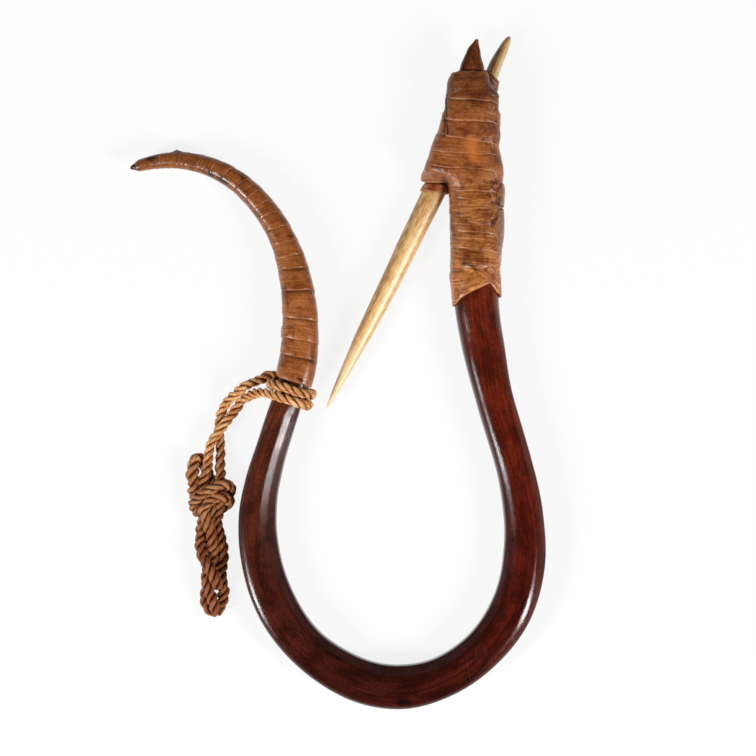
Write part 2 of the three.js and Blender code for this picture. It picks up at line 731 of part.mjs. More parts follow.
const CORD_STRETCHES = [
	[ 'leader_tail', SHORT_END, 8 ],
	[ 'leader_knot', KNOT_TO_INNER_LEG, 4 ],
	[ 'leader_leg_inner', INNER_LEG, 12 ],
	[ 'leader_neck_turns', neckTurns(), 34 ],
	[ 'leader_leg_outer', OUTER_LEG, 12 ],
	[ 'leader_knot', KNOT_TO_LOOP, 4 ],
	[ 'leader_tail', TAIL_LOOP, 20 ],
	[ 'leader_knot', KNOT_TO_EAR, 4 ],
	[ 'leader_ear_loop', EAR_LOOP, 8 ],
	[ 'leader_knot', KNOT_WRAPS, 26 ],
	[ 'leader_tail', LONG_END, 9 ]
];
const cordPoints = CORD_STRETCHES.flatMap( ( [ , points ] ) => points ).map( p => new THREE.Vector3( ...p ) );
const cordRoute = new THREE.CatmullRomCurve3( cordPoints, false, 'centripetal' );
cordRoute.arcLengthDivisions = 3000;
const cordLength = cordRoute.getLength();
console.log( 'cord length', cordLength.toFixed( 0 ) );

// Share of the cord's length at a place given as a share of its points.
function lengthShare( place ) {

	const lengths = cordRoute.getLengths();
	return lengths[ Math.round( place * ( lengths.length - 1 ) ) ] / cordLength;

}

class CordStretch extends THREE.Curve {

	constructor( from, to ) {

		super();
		this.from = from;
		this.to = to;

	}

	getPoint( t, target = new THREE.Vector3() ) {

		return cordRoute.getPointAt( THREE.MathUtils.lerp( this.from, this.to, t ), target );

	}

}

function cordTube( from, to, steps, radius ) {

	const section = new THREE.Shape();
	section.absarc( 0, 0, radius, 0, 2 * Math.PI );
	const extrudePath = new CordStretch( from, to );
	return closed( new THREE.ExtrudeGeometry( section, { steps, curveSegments: CORD_SIDES / 2, extrudePath } ) );

}

// Each stretch is a tube between the middles of the spans that join it to its neighbours, with a gap there.
function buildLeader() {

	const tubes = { leader_knot: [], leader_tail: [] };
	const wide = [];
	let first = 0;
	for ( const [ name, points, steps ] of CORD_STRETCHES ) {

		const spans = cordPoints.length - 1;
		const gap = SEAT_GAP / 2 / cordLength;
		const from = first === 0 ? 0 : lengthShare( ( first - 0.5 ) / spans ) + gap;
		first += points.length;
		const to = first > spans ? 1 : lengthShare( ( first - 0.5 ) / spans ) - gap;
		const tube = toSolid( cordTube( from, to, steps, CORD_RADIUS ) );
		if ( name === 'leader_knot' ) wide.push( toSolid( cordTube( from - gap, to + gap, steps, CORD_RADIUS + SEAT_GAP ) ) );
		tubes[ name ] = [ ...( tubes[ name ] || [] ), tube ];

	}

	const knotRoom = wide.reduce( ( all, next ) => all.add( next ) );
	for ( const [ name, solids ] of Object.entries( tubes ) ) {

		const joined = solids.reduce( ( all, next ) => all.add( next ) );
		const solid = name === 'leader_knot' ? joined : joined.subtract( knotRoom );
		addPiece( name, toGeometry( solid ), MATERIALS.fibre );

	}

}

// Assembly
const barbRoom = toSolid( buildBarb( SEAT_GAP ) );
const shank = toSolid( buildWood() ).subtract( barbRoom );
addPiece( 'shank', toGeometry( shank ), MATERIALS.wood );
addPiece( 'barb', buildBarb( 0 ), MATERIALS.bone );

addWinding( 'tip_whipping', TIP_WHIPPING, 'wood', { thickness: FINE_STRIP_THICKNESS, turnSteps: FINE_TURN_STEPS } );
addWinding( 'left_lashing_upper', LEFT_UPPER, 'wood' );
addWinding( 'left_lashing_lower', LEFT_LOWER, 'wood' );
addFootBand();
addWinding( 'right_lashing_lower', RIGHT_LOWER, 'wood' );
addWinding( 'right_lashing_middle', RIGHT_MIDDLE, 'woodAndBarb' );
addWinding( 'right_lashing_upper', RIGHT_UPPER, 'woodAndBarb' );
addWinding( 'point_lashing', POINT_LASHING, 'wood' );
addWinding( 'barb_root_band', BARB_ROOT, 'barb', { turnSteps: FINE_TURN_STEPS } );
addWinding( 'barb_stub_band', BARB_STUB, 'barb', { turnSteps: FINE_TURN_STEPS } );
addStripEnd( 'strip_end_tab', STRIP_END_TAB );
addStripEnd( 'folded_strip_end', FOLDED_STRIP_END );
addStripEnd( 'upper_strip_end', UPPER_STRIP_END );

buildLeader();

export default hook;
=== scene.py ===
# %% [markdown]
# # A bentwood halibut hook
#
# The hook is a rod of close-grained wood, steamed and bent into a U. A bone barb is lashed to one
# arm with bark strip, the other arm ends in a wrapped curl, and a plant fibre cord is tied round its
# neck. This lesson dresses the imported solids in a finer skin: every piece is a surface worked out
# with numpy from sizes in millimetres, and every finish is a node material.

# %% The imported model
import json
import math

import bpy
import numpy as np
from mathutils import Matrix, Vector

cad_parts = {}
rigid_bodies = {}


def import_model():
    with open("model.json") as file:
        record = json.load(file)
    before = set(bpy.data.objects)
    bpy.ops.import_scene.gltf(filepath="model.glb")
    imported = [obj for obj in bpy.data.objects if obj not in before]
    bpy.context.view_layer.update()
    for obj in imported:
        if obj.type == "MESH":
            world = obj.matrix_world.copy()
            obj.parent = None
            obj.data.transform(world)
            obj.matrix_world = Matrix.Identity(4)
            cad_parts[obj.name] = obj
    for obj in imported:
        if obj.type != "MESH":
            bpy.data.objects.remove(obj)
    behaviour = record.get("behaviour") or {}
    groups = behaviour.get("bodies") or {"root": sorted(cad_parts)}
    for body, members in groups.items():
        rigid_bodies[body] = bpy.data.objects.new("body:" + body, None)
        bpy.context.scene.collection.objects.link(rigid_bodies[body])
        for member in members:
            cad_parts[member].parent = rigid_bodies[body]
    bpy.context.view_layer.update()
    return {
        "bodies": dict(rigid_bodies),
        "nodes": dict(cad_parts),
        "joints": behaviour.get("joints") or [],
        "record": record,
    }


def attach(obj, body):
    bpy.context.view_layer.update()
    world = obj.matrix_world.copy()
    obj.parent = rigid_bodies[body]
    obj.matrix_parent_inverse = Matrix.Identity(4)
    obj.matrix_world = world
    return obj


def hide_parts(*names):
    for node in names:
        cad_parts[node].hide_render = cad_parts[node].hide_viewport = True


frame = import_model()
scene = bpy.context.scene
MM = 0.001
TURN = 2 * math.pi
print("nodes in the frame:", len(frame["nodes"]))

# %% [markdown]
# ## The camera
#
# The photograph looks straight down on the hook, as from a copy stand. A wide lens close by would
# show the sides of the rod, so the lens is long and the camera is high. Its height follows from the
# width that the picture covers.

# %% Camera
PICTURE_WIDTH = 287.3
PICTURE_CENTRE = (15.5, -1.9)
MIDDLE_HEIGHT = 8.0
LENS = 120.0
SENSOR = 36.0

camera_data = bpy.data.cameras.new("camera")
camera_data.lens = LENS
camera_data.sensor_width = SENSOR
camera = bpy.data.objects.new("camera", camera_data)
scene.collection.objects.link(camera)
camera_height = PICTURE_WIDTH * LENS / SENSOR + MIDDLE_HEIGHT
camera.location = (PICTURE_CENTRE[0] * MM, PICTURE_CENTRE[1] * MM, camera_height * MM)
scene.camera = camera
print("camera height", round(camera_height), "mm")

# %% [markdown]
# ## Curves and meshes
#
# A few helpers carry the whole lesson. One turns rings of points into closed skins: it joins each
# ring to the next with quads, closes both ends and stores where each corner lies on the surface as
# a UV map. Another is a smooth ripple made of sines. It stands for the small unevenness of hand
# work, and unlike a random number it is the same on every run and has no steps.

# %% Small helpers
def around(count):
    """count angles in equal steps round a circle: 2 pi k / count."""
    return np.linspace(0, TURN, count, endpoint=False)


def pairs(first, second):
    """Two arrays spread to one shape and put side by side as (first, second)."""
    return np.stack(np.broadcast_arrays(first, second), axis=-1)


def run_along(points):
    """The length run at each point of a line: the sum of the steps up to it, 0 at the first."""
    return np.concatenate([[0], np.cumsum(np.linalg.norm(np.diff(points, axis=0), axis=1))])


def smooth_rise(x, low, high):
    """0 below low, 1 above high and 3x^2 - 2x^3 between them."""
    x = np.clip((np.asarray(x) - low) / (high - low), 0, 1)
    return x * x * (3 - 2 * x)


def blend(first, second, share):
    """first + (second - first) share: first where share is 0 and second where it is 1."""
    return first + (second - first) * share


def ripple(place, wavelength, seed):
    """A smooth uneven wave between about -1 and 1: four sines of unlike length, phases from seed."""
    phases = np.random.default_rng(seed).uniform(0, TURN, 4)
    stretches = np.array([1.0, 0.62, 1.71, 0.41])
    angle = TURN * np.asarray(place)[..., None] / (wavelength * stretches) + phases
    return (np.sin(angle) @ np.array([1.0, 0.7, 0.8, 0.35])) / 2.2


sample = ripple(np.arange(99), 9, 1)
print("a ripple runs from", sample.min().round(2), "to", sample.max().round(2))

# %% Closed skins
UV_UNIT = 100.0


def tube_quads(rings, sides):
    """The corners of a tube's quads as four (ring, side) pairs, and as point numbers: ring * sides + side."""
    ring = np.arange(rings - 1)[:, None]
    side = np.arange(sides)[None, :]
    corners = [(ring, side), (ring, side + 1), (ring + 1, side + 1), (ring + 1, side)]
    return corners, np.stack([r * sides + s % sides for r, s in corners], axis=-1).reshape(-1, 4)


def closed_skin(points, uv):
    """Faces and corner UVs of a tube of rings. points[ring, side] are mm, uv[ring, side + 1] are mm
    along and across. Its volume, the sum of corner . (corner x corner) / 6, turns it to face outward."""
    rings, sides = points.shape[:2]
    corners, quads = tube_quads(rings, sides)
    corner_uv = np.stack([uv[r, s] for r, s in corners], axis=2).reshape(-1, 4, 2)
    flat = points.reshape(-1, 3)
    first, second, third, fourth = (flat[quads[:, k]] for k in range(4))
    volume = np.sum(first * np.cross(second, third)) + np.sum(first * np.cross(third, fourth))
    start = np.arange(sides)
    caps = [start[::-1], start + (rings - 1) * sides]
    if volume < 0:
        quads, corner_uv = quads[:, ::-1], corner_uv[:, ::-1]
        caps = [cap[::-1] for cap in caps]
    cap_uv = [uv[cap // sides, cap % sides] for cap in caps]
    return flat, quads, corner_uv, caps, cap_uv


def make_piece(name, slot, nodes, parts, **marks):
    """One mesh object from several closed skins, each (points, uv). It rides on the hook and stands for
    the solids in nodes. slot is not used. marks are named numbers at each point."""
    vertices, loops, totals, corner_uv, first = [], [], [], [], 0
    for points, uv in parts:
        flat, quads, quad_uv, caps, cap_uv = closed_skin(points, uv)
        vertices.append(flat)
        loops += [quads.ravel() + first, *(cap + first for cap in caps)]
        totals += [np.full(len(quads), 4), np.array([len(cap) for cap in caps])]
        corner_uv += [quad_uv.reshape(-1, 2), *cap_uv]
        first += len(flat)
    vertices, loops, totals = np.concatenate(vertices), np.concatenate(loops), np.concatenate(totals)
    starts = np.concatenate([[0], np.cumsum(totals)[:-1]])
    mesh = bpy.data.meshes.new(name)
    mesh.vertices.add(len(vertices))
    mesh.vertices.foreach_set("co", (vertices * MM).astype(np.float32).ravel())
    mesh.loops.add(len(loops))
    mesh.loops.foreach_set("vertex_index", loops.astype(np.int32))
    mesh.polygons.add(len(totals))
    mesh.polygons.foreach_set("loop_start", starts.astype(np.int32))
    mesh.polygons.foreach_set("loop_total", totals.astype(np.int32))
    mesh.polygons.foreach_set("use_smooth", np.ones(len(totals), bool))
    layer = mesh.uv_layers.new(name="surface")
    layer.data.foreach_set("uv", (np.concatenate(corner_uv) / UV_UNIT).astype(np.float32).ravel())
    for mark, values in marks.items():
        attribute = mesh.attributes.new(mark, "FLOAT", "POINT")
        attribute.data.foreach_set("value", np.asarray(values, np.float32).ravel())
    mesh.update(calc_edges=True)
    mesh.validate()
    piece = bpy.data.objects.new(name, mesh)
    scene.collection.objects.link(piece)
    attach(piece, "root")
    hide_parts(*nodes)
    print(name, len(mesh.polygons), "faces")
    return piece


print("one unit of the UV map is", round(UV_UNIT), "mm")

# %% [markdown]
# ## The leader cord's route
#
# The cord is one length of three-strand twine, about half a metre long. Two legs hang from the turns
# round the neck, twist about each other once and go into a knot, and the tails beyond it are doubled
# back. A simulation would settle it somewhere else, so the points are listed here and are the ones
# that the solids follow. Cords come first, because their room is measured against the view.

# %% Points along the cord
CORD_DIAMETER = 3.5
SHORT_END = [
    (-44.1, -82.1, 8.0), (-46.4, -77.5, 8.6), (-49.1, -73.3, 8.4), (-52.1, -69.2, 6.2),
    (-53.4, -64.6, 4.6), (-52.9, -60.0, 4.8), (-51.6, -55.5, 5.4),
]
KNOT_TO_INNER_LEG = [(-51.5, -51.3, 5.4), (-51.5, -47.1, 5.4), (-51.4, -42.9, 5.6)]
INNER_LEG = [
    (-50.4, -39.1, 6.2), (-49.2, -33.8, 5.8), (-48.7, -29.3, 5.2), (-47.4, -25.5, 5.6),
    (-44.3, -21.3, 6.0), (-41.9, -18.1, 4.6), (-39.8, -15.4, 2.8), (-38.2, -12.9, 2.6),
    (-36.3, -10.2, 3.6), (-34.2, -9.0, 5.6), (-31.6, -7.9, 8.8), (-29.0, -7.3, 11.8),
]
OUTER_LEG = [
    (-25.8, -0.9, 4.6), (-28.9, -2.4, 6.4), (-31.8, -3.6, 7.2), (-35.0, -4.9, 8.2),
    (-38.3, -7.6, 7.0), (-41.5, -10.4, 4.4), (-43.8, -13.7, 2.6), (-44.9, -17.5, 1.9),
    (-45.5, -21.7, 1.9), (-44.9, -25.8, 1.9), (-44.7, -30.0, 2.2), (-44.7, -34.6, 3.5),
    (-44.5, -39.5, 5.0),
]
KNOT_TO_LOOP = [(-44.3, -44.1, 5.4), (-44.3, -48.6, 5.4), (-45.1, -52.8, 5.3)]
TAIL_LOOP = [
    (-45.7, -56.4, 5.0), (-44.5, -60.8, 4.4), (-43.2, -65.7, 3.8), (-43.0, -71.1, 3.0),
    (-43.8, -76.0, 2.2), (-43.0, -80.6, 2.2), (-42.6, -84.7, 2.4), (-44.0, -88.9, 2.6),
    (-47.4, -90.8, 2.4), (-50.4, -88.9, 2.2), (-51.2, -84.7, 2.0), (-50.0, -80.2, 1.9),
    (-48.0, -76.0, 1.9), (-47.2, -71.8, 1.9), (-48.3, -67.3, 1.9), (-48.9, -62.7, 2.6),
    (-48.6, -58.1, 4.0),
]
KNOT_TO_EAR = [(-47.9, -54.0, 5.3), (-47.9, -48.6, 5.4), (-47.6, -43.7, 4.6)]
EAR_LOOP = [
    (-48.7, -39.5, 2.0), (-51.2, -35.6, 1.9), (-53.3, -33.2, 2.6), (-55.4, -33.0, 3.8),
    (-56.5, -35.6, 5.0), (-56.6, -39.5, 5.6), (-55.7, -43.7, 5.4),
]
KNOT_WRAPS = [
    (-54.2, -47.7, 2.4), (-50.2, -49.6, 2.0), (-46.0, -49.0, 2.0), (-42.0, -46.9, 2.8),
    (-40.6, -44.6, 5.2), (-41.3, -42.6, 7.8), (-43.8, -42.2, 9.0), (-47.6, -44.1, 9.2),
    (-51.6, -46.7, 8.8), (-54.8, -49.6, 6.0), (-53.8, -52.8, 2.8), (-49.8, -53.3, 2.0),
    (-45.7, -52.3, 1.9), (-41.9, -50.2, 3.4), (-41.3, -47.9, 6.4), (-44.5, -47.0, 8.8),
    (-48.3, -48.8, 9.1), (-50.4, -51.9, 8.8),
]
LONG_END = [
    (-50.0, -55.5, 8.2), (-47.9, -61.9, 6.8), (-47.0, -66.5, 5.4), (-48.2, -71.1, 4.6),
    (-50.2, -75.2, 4.5), (-50.2, -79.8, 5.4), (-48.5, -84.0, 5.6), (-46.6, -88.5, 5.8),
    (-44.9, -92.4, 5.0),
]
TO_THE_NECK = SHORT_END + KNOT_TO_INNER_LEG + INNER_LEG
FROM_THE_NECK = OUTER_LEG + KNOT_TO_LOOP + TAIL_LOOP + KNOT_TO_EAR + EAR_LOOP + KNOT_WRAPS + LONG_END
print("chosen points:", len(TO_THE_NECK) + len(FROM_THE_NECK))

# %% [markdown]
# ## The wood's middle line
#
# The neck turns follow the wood, so the wood's own measure comes next. A chain of arcs would show
# its joints in the light on the rod. A steamed rod bends smoothly, and a cubic through the stations
# with continuous bending does the same. The bending at every station is the solution of one small
# system of linear equations.

# %% Stations: place of the middle line, half widths inside and outside, back, front
SEAT_GAP, WOUND_GAP, GROUND_CLEARANCE = 0.3, 0.45, 0.1
STRIP_THICKNESS = 0.7
STRIP_SEAT = WOUND_GAP + STRIP_THICKNESS
LASHED_BACK = GROUND_CLEARANCE + STRIP_SEAT
NECK_BACK = GROUND_CLEARANCE + CORD_DIAMETER + WOUND_GAP
NECK_FRONT = NECK_BACK + 11.4
BARB_RADIUS = 4.3
BARB_STUB_RADIUS = 2.8
BARB_HEIGHT = LASHED_BACK + SEAT_GAP + BARB_RADIUS
BED_BACK = BARB_HEIGHT + SEAT_GAP
POINT_BACK = BARB_HEIGHT + BARB_STUB_RADIUS + 2 * STRIP_SEAT + SEAT_GAP
WOOD_FRONT, HEAD_FRONT = 14.5, 17.0
STATIONS = np.array([
    (-78.8, 77.8, 1.2, 1.2, 6.6, 9.0),
    (-75.0, 78.9, 1.5, 1.5, 6.2, 9.3),
    (-63.1, 80.8, 2.2, 2.2, 5.8, 10.4),
    (-50.4, 79.0, 2.6, 2.6, 5.7, 11.0),
    (-40.9, 74.7, 3.0, 3.0, 5.5, 11.6),
    (-29.6, 64.8, 3.5, 3.5, 5.3, 12.4),
    (-21.3, 52.2, 4.0, 4.0, 5.0, 13.2),
    (-16.5, 38.7, 4.9, 4.9, 4.7, 14.2),
    (-14.0, 20.1, 5.7, 5.7, 4.3, NECK_FRONT),
    (-15.5, 1.0, 6.3, 6.3, NECK_BACK, NECK_FRONT),
    (-17.5, -6.5, 5.7, 5.7, NECK_BACK, NECK_FRONT),
    (-20.2, -14.5, 5.9, 5.9, NECK_BACK, NECK_FRONT),
    (-24.4, -27.4, 6.0, 6.0, 0, WOOD_FRONT),
    (-28.6, -42.5, 6.6, 6.6, 0, WOOD_FRONT),
    (-30.25, -55.5, 7.2, 7.2, 0, WOOD_FRONT),
    (-29.3, -68.5, 7.5, 7.5, 0, WOOD_FRONT),
    (-21.5, -90.8, 8.1, 8.1, 0, WOOD_FRONT),
    (-3.7, -109.6, 8.4, 8.4, 0, WOOD_FRONT),
    (10.0, -117.1, 8.3, 8.3, 0, WOOD_FRONT),
    (24.8, -119.2, 8.3, 8.3, 0, WOOD_FRONT),
    (39.7, -115.6, 7.7, 7.7, 0, WOOD_FRONT),
    (55.3, -104.9, 7.6, 7.6, 0, WOOD_FRONT),
    (66.4, -89.1, 8.1, 8.1, 0, WOOD_FRONT),
    (71.0, -70.5, 8.1, 8.1, 0, WOOD_FRONT),
    (70.8, -54.9, 7.5, 7.5, 0, WOOD_FRONT),
    (67.3, -35.6, 7.0, 7.0, 0, WOOD_FRONT),
    (59.8, -9.9, 7.1, 7.1, 0, WOOD_FRONT),
    (55.1, 12.0, 8.1, 8.1, 0, WOOD_FRONT + 0.7),
    (52.9, 27.0, 8.4, 8.4, LASHED_BACK, HEAD_FRONT - 0.8),
    (52.5, 45.0, 8.6, 8.6, LASHED_BACK, HEAD_FRONT),
    (52.4, 62.0, 8.8, 9.0, LASHED_BACK + 0.4, HEAD_FRONT),
    (52.3, 70.5, 9.0, 9.5, LASHED_BACK + 2.4, HEAD_FRONT + 0.3),
    (52.15, 77.0, 15.5, 9.9, BED_BACK, HEAD_FRONT + 0.5),
    (51.9, 84.7, 15.5, 8.5, BED_BACK, HEAD_FRONT + 0.5),
    (51.55, 94.6, 12.2, 8.7, BED_BACK + 0.5, HEAD_FRONT + 0.3),
    (51.15, 104.0, 8.9, 9.6, POINT_BACK - 1, HEAD_FRONT + 0.3),
    (51.0, 109.0, 7.3, 5.8, POINT_BACK, HEAD_FRONT + 0.2),
    (51.05, 115.0, 4.6, 4.6, POINT_BACK, HEAD_FRONT),
    (51.7, 121.5, 2.6, 2.6, POINT_BACK + 0.6, HEAD_FRONT - 1.2),
    (52.9, 126.0, 0.6, 0.6, POINT_BACK + 1.6, HEAD_FRONT - 2.6),
])
print("stations along the wood:", len(STATIONS))


# %% The bent line through the stations
def spline_bends(points, chord):
    """Second derivatives at the points. Each span's slope change is balanced: before * B[k-1]
    + 2 (before + after) * B[k] + after * B[k+1] = 6 (slope after - slope before), free at the ends."""
    count = len(points)
    balance = np.eye(count)
    inside = np.arange(1, count - 1)
    balance[inside, inside - 1] = chord[:-1]
    balance[inside, inside] = 2 * (chord[:-1] + chord[1:])
    balance[inside, inside + 1] = chord[1:]
    slopes = np.diff(points, axis=0) / chord[:, None]
    change = np.zeros_like(points)
    change[1:-1] = 6 * np.diff(slopes, axis=0)
    return np.linalg.solve(balance, change)


line_points = STATIONS[:, :2]
chord = np.linalg.norm(np.diff(line_points, axis=0), axis=1)
knots = run_along(line_points)
bends = spline_bends(line_points, chord)


def span_at(parameter):
    """The number of the span between two stations that a parameter is in, and the share of it passed."""
    span = np.clip(np.searchsorted(knots, parameter) - 1, 0, len(chord) - 1)
    return span, (parameter - knots[span]) / chord[span]


def line_point(parameter):
    """The cubic's point: rest * P0 + share * P1 + ((rest^3 - rest) B0 + (share^3 - share) B1) span^2 / 6."""
    span, share = span_at(parameter)
    share = share[:, None]
    rest, size = 1 - share, (chord[span] ** 2 / 6)[:, None]
    point = rest * line_points[span] + share * line_points[span + 1]
    return point + ((rest**3 - rest) * bends[span] + (share**3 - share) * bends[span + 1]) * size


fine_parameter = np.linspace(0, knots[-1], 8001)
fine_length = run_along(line_point(fine_parameter))
WOOD_LENGTH = fine_length[-1]
print("length of the wood's middle line", round(WOOD_LENGTH), "mm")


# %% Everything about the wood at a distance along it
SLOPE_STEP = 0.05


def wood_at(distance):
    """Centre, outward direction, direction along and the four sizes at each distance. Sizes ease from
    station to station, half in a straight line and half as 3x^2 - 2x^3."""
    parameter = np.interp(np.clip(distance, 0, WOOD_LENGTH), fine_length, fine_parameter)
    before, after = (line_point(np.clip(parameter + s, 0, knots[-1])) for s in (-SLOPE_STEP, SLOPE_STEP))
    along = (after - before) / np.linalg.norm(after - before, axis=1)[:, None]
    span, share = span_at(parameter)
    eased = (0.5 * share + 0.5 * smooth_rise(share, 0, 1))[:, None]
    sizes = (1 - eased) * STATIONS[span, 2:] + eased * STATIONS[span + 1, 2:]
    outward = np.stack([along[:, 1], -along[:, 0]], axis=1)
    return line_point(parameter), outward, along, sizes


print("the rod is", wood_at(np.array([280.0]))[3][0, :2].sum().round(1), "mm wide at the bend")

# %% [markdown]
# ## Sections
#
# Seen across, the rod is a rounded block with a flat back. A bevelled box would need its corners
# rounded afterwards. A superellipse gives such a block at once: it is a circle whose sides are
# pushed out by one power. This is the plain block of the solids, and what is wound on the rod lies
# on it.

# %% The wood's section
SECTION_SIDES = 72
CORE_POWER = 2.8
BACK_FLATTENING = 1.12


def wood_sections(distance):
    """Section points as [distance, side, (outward, height)]: |u|^p + |v|^p = 1 with its back cut flat."""
    centre, outward, along, sizes = wood_at(distance)
    inner, outer, back, front = sizes.T[:, :, None]
    angle = around(SECTION_SIDES)[None, :]
    power = 2 / CORE_POWER
    across = np.sign(np.cos(angle)) * np.abs(np.cos(angle)) ** power
    height = np.sign(np.sin(angle)) * np.abs(np.sin(angle)) ** power
    height = np.maximum(height * np.where(height < 0, BACK_FLATTENING, 1), -1)
    reach = across * np.where(across < 0, inner, outer)
    level = (back + front) / 2 + height * (front - back) / 2
    return centre, outward, along, np.stack([reach, level], axis=-1)


print("sides to a section:", SECTION_SIDES)

# %% [markdown]
# ## Cores
#
# Everything wound on the hook lies on a core: the wood alone, wood and barb together, or the
# barb. A tight strip spans hollows, so it takes the convex outline of what it goes round. For each
# facing direction that outline is the section's furthest point. A core keeps this surface as a
# table of distance along it and share of the way round, and reads it between its lines. Wrapping
# each strip by a modifier would do this as well, but would leave no say in how the turns lap.

# %% The barb's own measure
BARB_LENGTH = 157.0
BARB_LEAN = math.radians(26.3)
BARB_TOP = np.array([65.7, 127.1, BARB_HEIGHT])
BARB_AXIS = np.array([-math.sin(BARB_LEAN), -math.cos(BARB_LEAN), 0])
BARB_OUTWARD = np.array([BARB_AXIS[1], -BARB_AXIS[0], 0])
BARB_PROFILE = np.array([
    (0, 1.3), (2, 2.1), (9, 2.7), (16, 2.9), (31, 3.8), (50, 4.2), (66, 4.3), (84, 4.1),
    (112, 3.5), (127, 2.9), (141, 2.0), (151, 1.1), (157, 0.3),
])


def barb_radius(distance):
    """Radius at each distance from the barb's upper end, in straight lines between the measures."""
    return np.interp(distance, BARB_PROFILE[:, 0], BARB_PROFILE[:, 1])


def barb_crossing(centre, outward, along):
    """The barb cut by the wood's section planes, as [distance, side, (outward, height)] ellipses:
    middle + r cos a / |slope| across and r sin a in height. Past its ends it is a point in the wood."""
    slope = along @ BARB_AXIS[:2]
    distance = np.sum((centre - BARB_TOP[:2]) * along, axis=1) / slope
    crossing = BARB_TOP[:2] + distance[:, None] * BARB_AXIS[:2] - centre
    middle = np.sum(crossing * outward, axis=1)[:, None]
    radius = barb_radius(np.clip(distance, 0, BARB_LENGTH))[:, None]
    angle = around(32)[None, :]
    across = middle + radius * np.cos(angle) / np.abs(slope)[:, None]
    height = BARB_HEIGHT + radius * np.sin(angle)
    outside = (distance < 0) | (distance > BARB_LENGTH)
    across[outside] = 0
    height[outside] = HEAD_FRONT - 1
    return np.stack([across, height], axis=-1)


print("the barb is thickest", round(2 * barb_radius(66), 1), "mm")

# %% A core's surface as a table
FACINGS = np.linspace(0, TURN, 121)
FACING_VECTORS = np.stack([np.cos(FACINGS), np.sin(FACINGS)], axis=1)
CORE_SHARES = np.linspace(0, 1, 241)


class Core:
    """A surface that strips and cords lie on, read at any distance, share of a turn and lift."""

    def __init__(self, first, last, step, frames):
        """Fills the table: the furthest point of each section in each facing direction, spread along
        the way round half by its length and half by its facing."""
        self.first, self.step = first, step
        distance = np.arange(first, last + step / 2, step)
        centre, outward, sections = frames(distance)
        reach = np.einsum("nmk,fk->nfm", sections, FACING_VECTORS)
        best = reach.argmax(axis=2)
        outline = np.take_along_axis(sections, best[..., None], axis=1)
        run = np.linalg.norm(np.diff(outline, axis=1), axis=2).cumsum(axis=1)
        run = np.concatenate([np.zeros((len(run), 1)), run], axis=1)
        self.girth = run[:, -1]
        mixed = 0.5 * run / run[:, -1:] + 0.5 * np.linspace(0, 1, len(FACINGS))
        flat = np.stack([[np.interp(CORE_SHARES, row, column) for column in (*line.T, FACINGS)]
                         for row, line in zip(mixed, outline)])
        facing = flat[:, 2]
        side = outward[:, None, :]
        self.surface = centre[:, None, :] + side * flat[:, 0, :, None]
        self.surface[..., 2] = flat[:, 1]
        self.normal = side * np.cos(facing)[..., None]
        self.normal[..., 2] = np.sin(facing)

    def at(self, distance, share, lift):
        """Surface + lift * normal, each read between the four nearest entries of the table."""
        distance, share, lift = np.broadcast_arrays(distance, share, lift)
        row = np.clip((distance - self.first) / self.step, 0, len(self.surface) - 1.001)
        column = (share % 1.0) * (len(CORE_SHARES) - 1)
        r, c = row.astype(int), np.minimum(column.astype(int), len(CORE_SHARES) - 2)
        fr, fc = (row - r)[..., None], (column - c)[..., None]

        def read(table):
            upper = (1 - fc) * table[r, c] + fc * table[r, c + 1]
            lower = (1 - fc) * table[r + 1, c] + fc * table[r + 1, c + 1]
            return (1 - fr) * upper + fr * lower

        return read(self.surface) + read(self.normal) * lift[..., None]


def in_space(flat):
    """2D points or directions with a third coordinate of 0."""
    return np.concatenate([flat, np.zeros((len(flat), 1))], axis=1)


def wood_frames(distance):
    """The wood's centres, outward directions and plain sections."""
    centre, outward, along, sections = wood_sections(distance)
    return in_space(centre), in_space(outward), sections


def head_frames(distance):
    """The same with the barb's crossing added to each section."""
    centre, outward, along, sections = wood_sections(distance)
    barb = barb_crossing(centre, outward, along)
    return in_space(centre), in_space(outward), np.concatenate([sections, barb], axis=1)


def barb_frames(distance):
    """Circles of the barb's radius, square to its axis."""
    angle = around(48)[None, :]
    radius = barb_radius(distance)[:, None]
    sections = np.stack([radius * np.cos(angle), BARB_HEIGHT + radius * np.sin(angle)], axis=-1)
    centre = in_space(BARB_TOP[:2] + distance[:, None] * BARB_AXIS[:2])
    return centre, np.repeat(BARB_OUTWARD[None, :], len(distance), axis=0), sections


wood_core = Core(0, 545, 1.0, wood_frames)
head_core = Core(476, 540, 0.5, head_frames)
barb_core = Core(0, 156, 1.0, barb_frames)
print("girth of the rod at the bend", round(wood_core.girth[280]), "mm")

# %% [markdown]
# ## The cord itself
#
# Twine is three strands laid round each other. A plain tube with a bump would lose the strands at
# its edges. So each strand is a round tube whose middle runs on a helix about the cord's line: a
# steady frame is carried along the line and the three strands turn in it. Where three equal circles
# touch, their centres lie at 2 / sqrt 3 of a strand's radius from the middle; worn twine is packed a
# little tighter.

# %% The cord's line
NECK_TURNS = {"lower": 133.4, "pitch": 4.0, "first": 0.12, "last": 1.88, "steps": 28}
CORD_STEP = 0.3
TAIL_MIDDLE = -47.6
TAIL_DRAWN_IN = 0.2
EAR_PRESSED = 1.6


def neck_turns():
    """Two turns round the wood, level over the front: passed - sin(2 pi passed) / (2 pi) of the pitch
    has been climbed after each part of a turn that has passed."""
    turned = np.linspace(NECK_TURNS["first"], NECK_TURNS["last"], NECK_TURNS["steps"] + 1)
    passed = turned - 0.25
    climbed = passed - np.sin(TURN * passed) / TURN
    distance = NECK_TURNS["lower"] - NECK_TURNS["pitch"] * climbed
    return wood_core.at(distance, turned, WOUND_GAP + CORD_DIAMETER / 2)


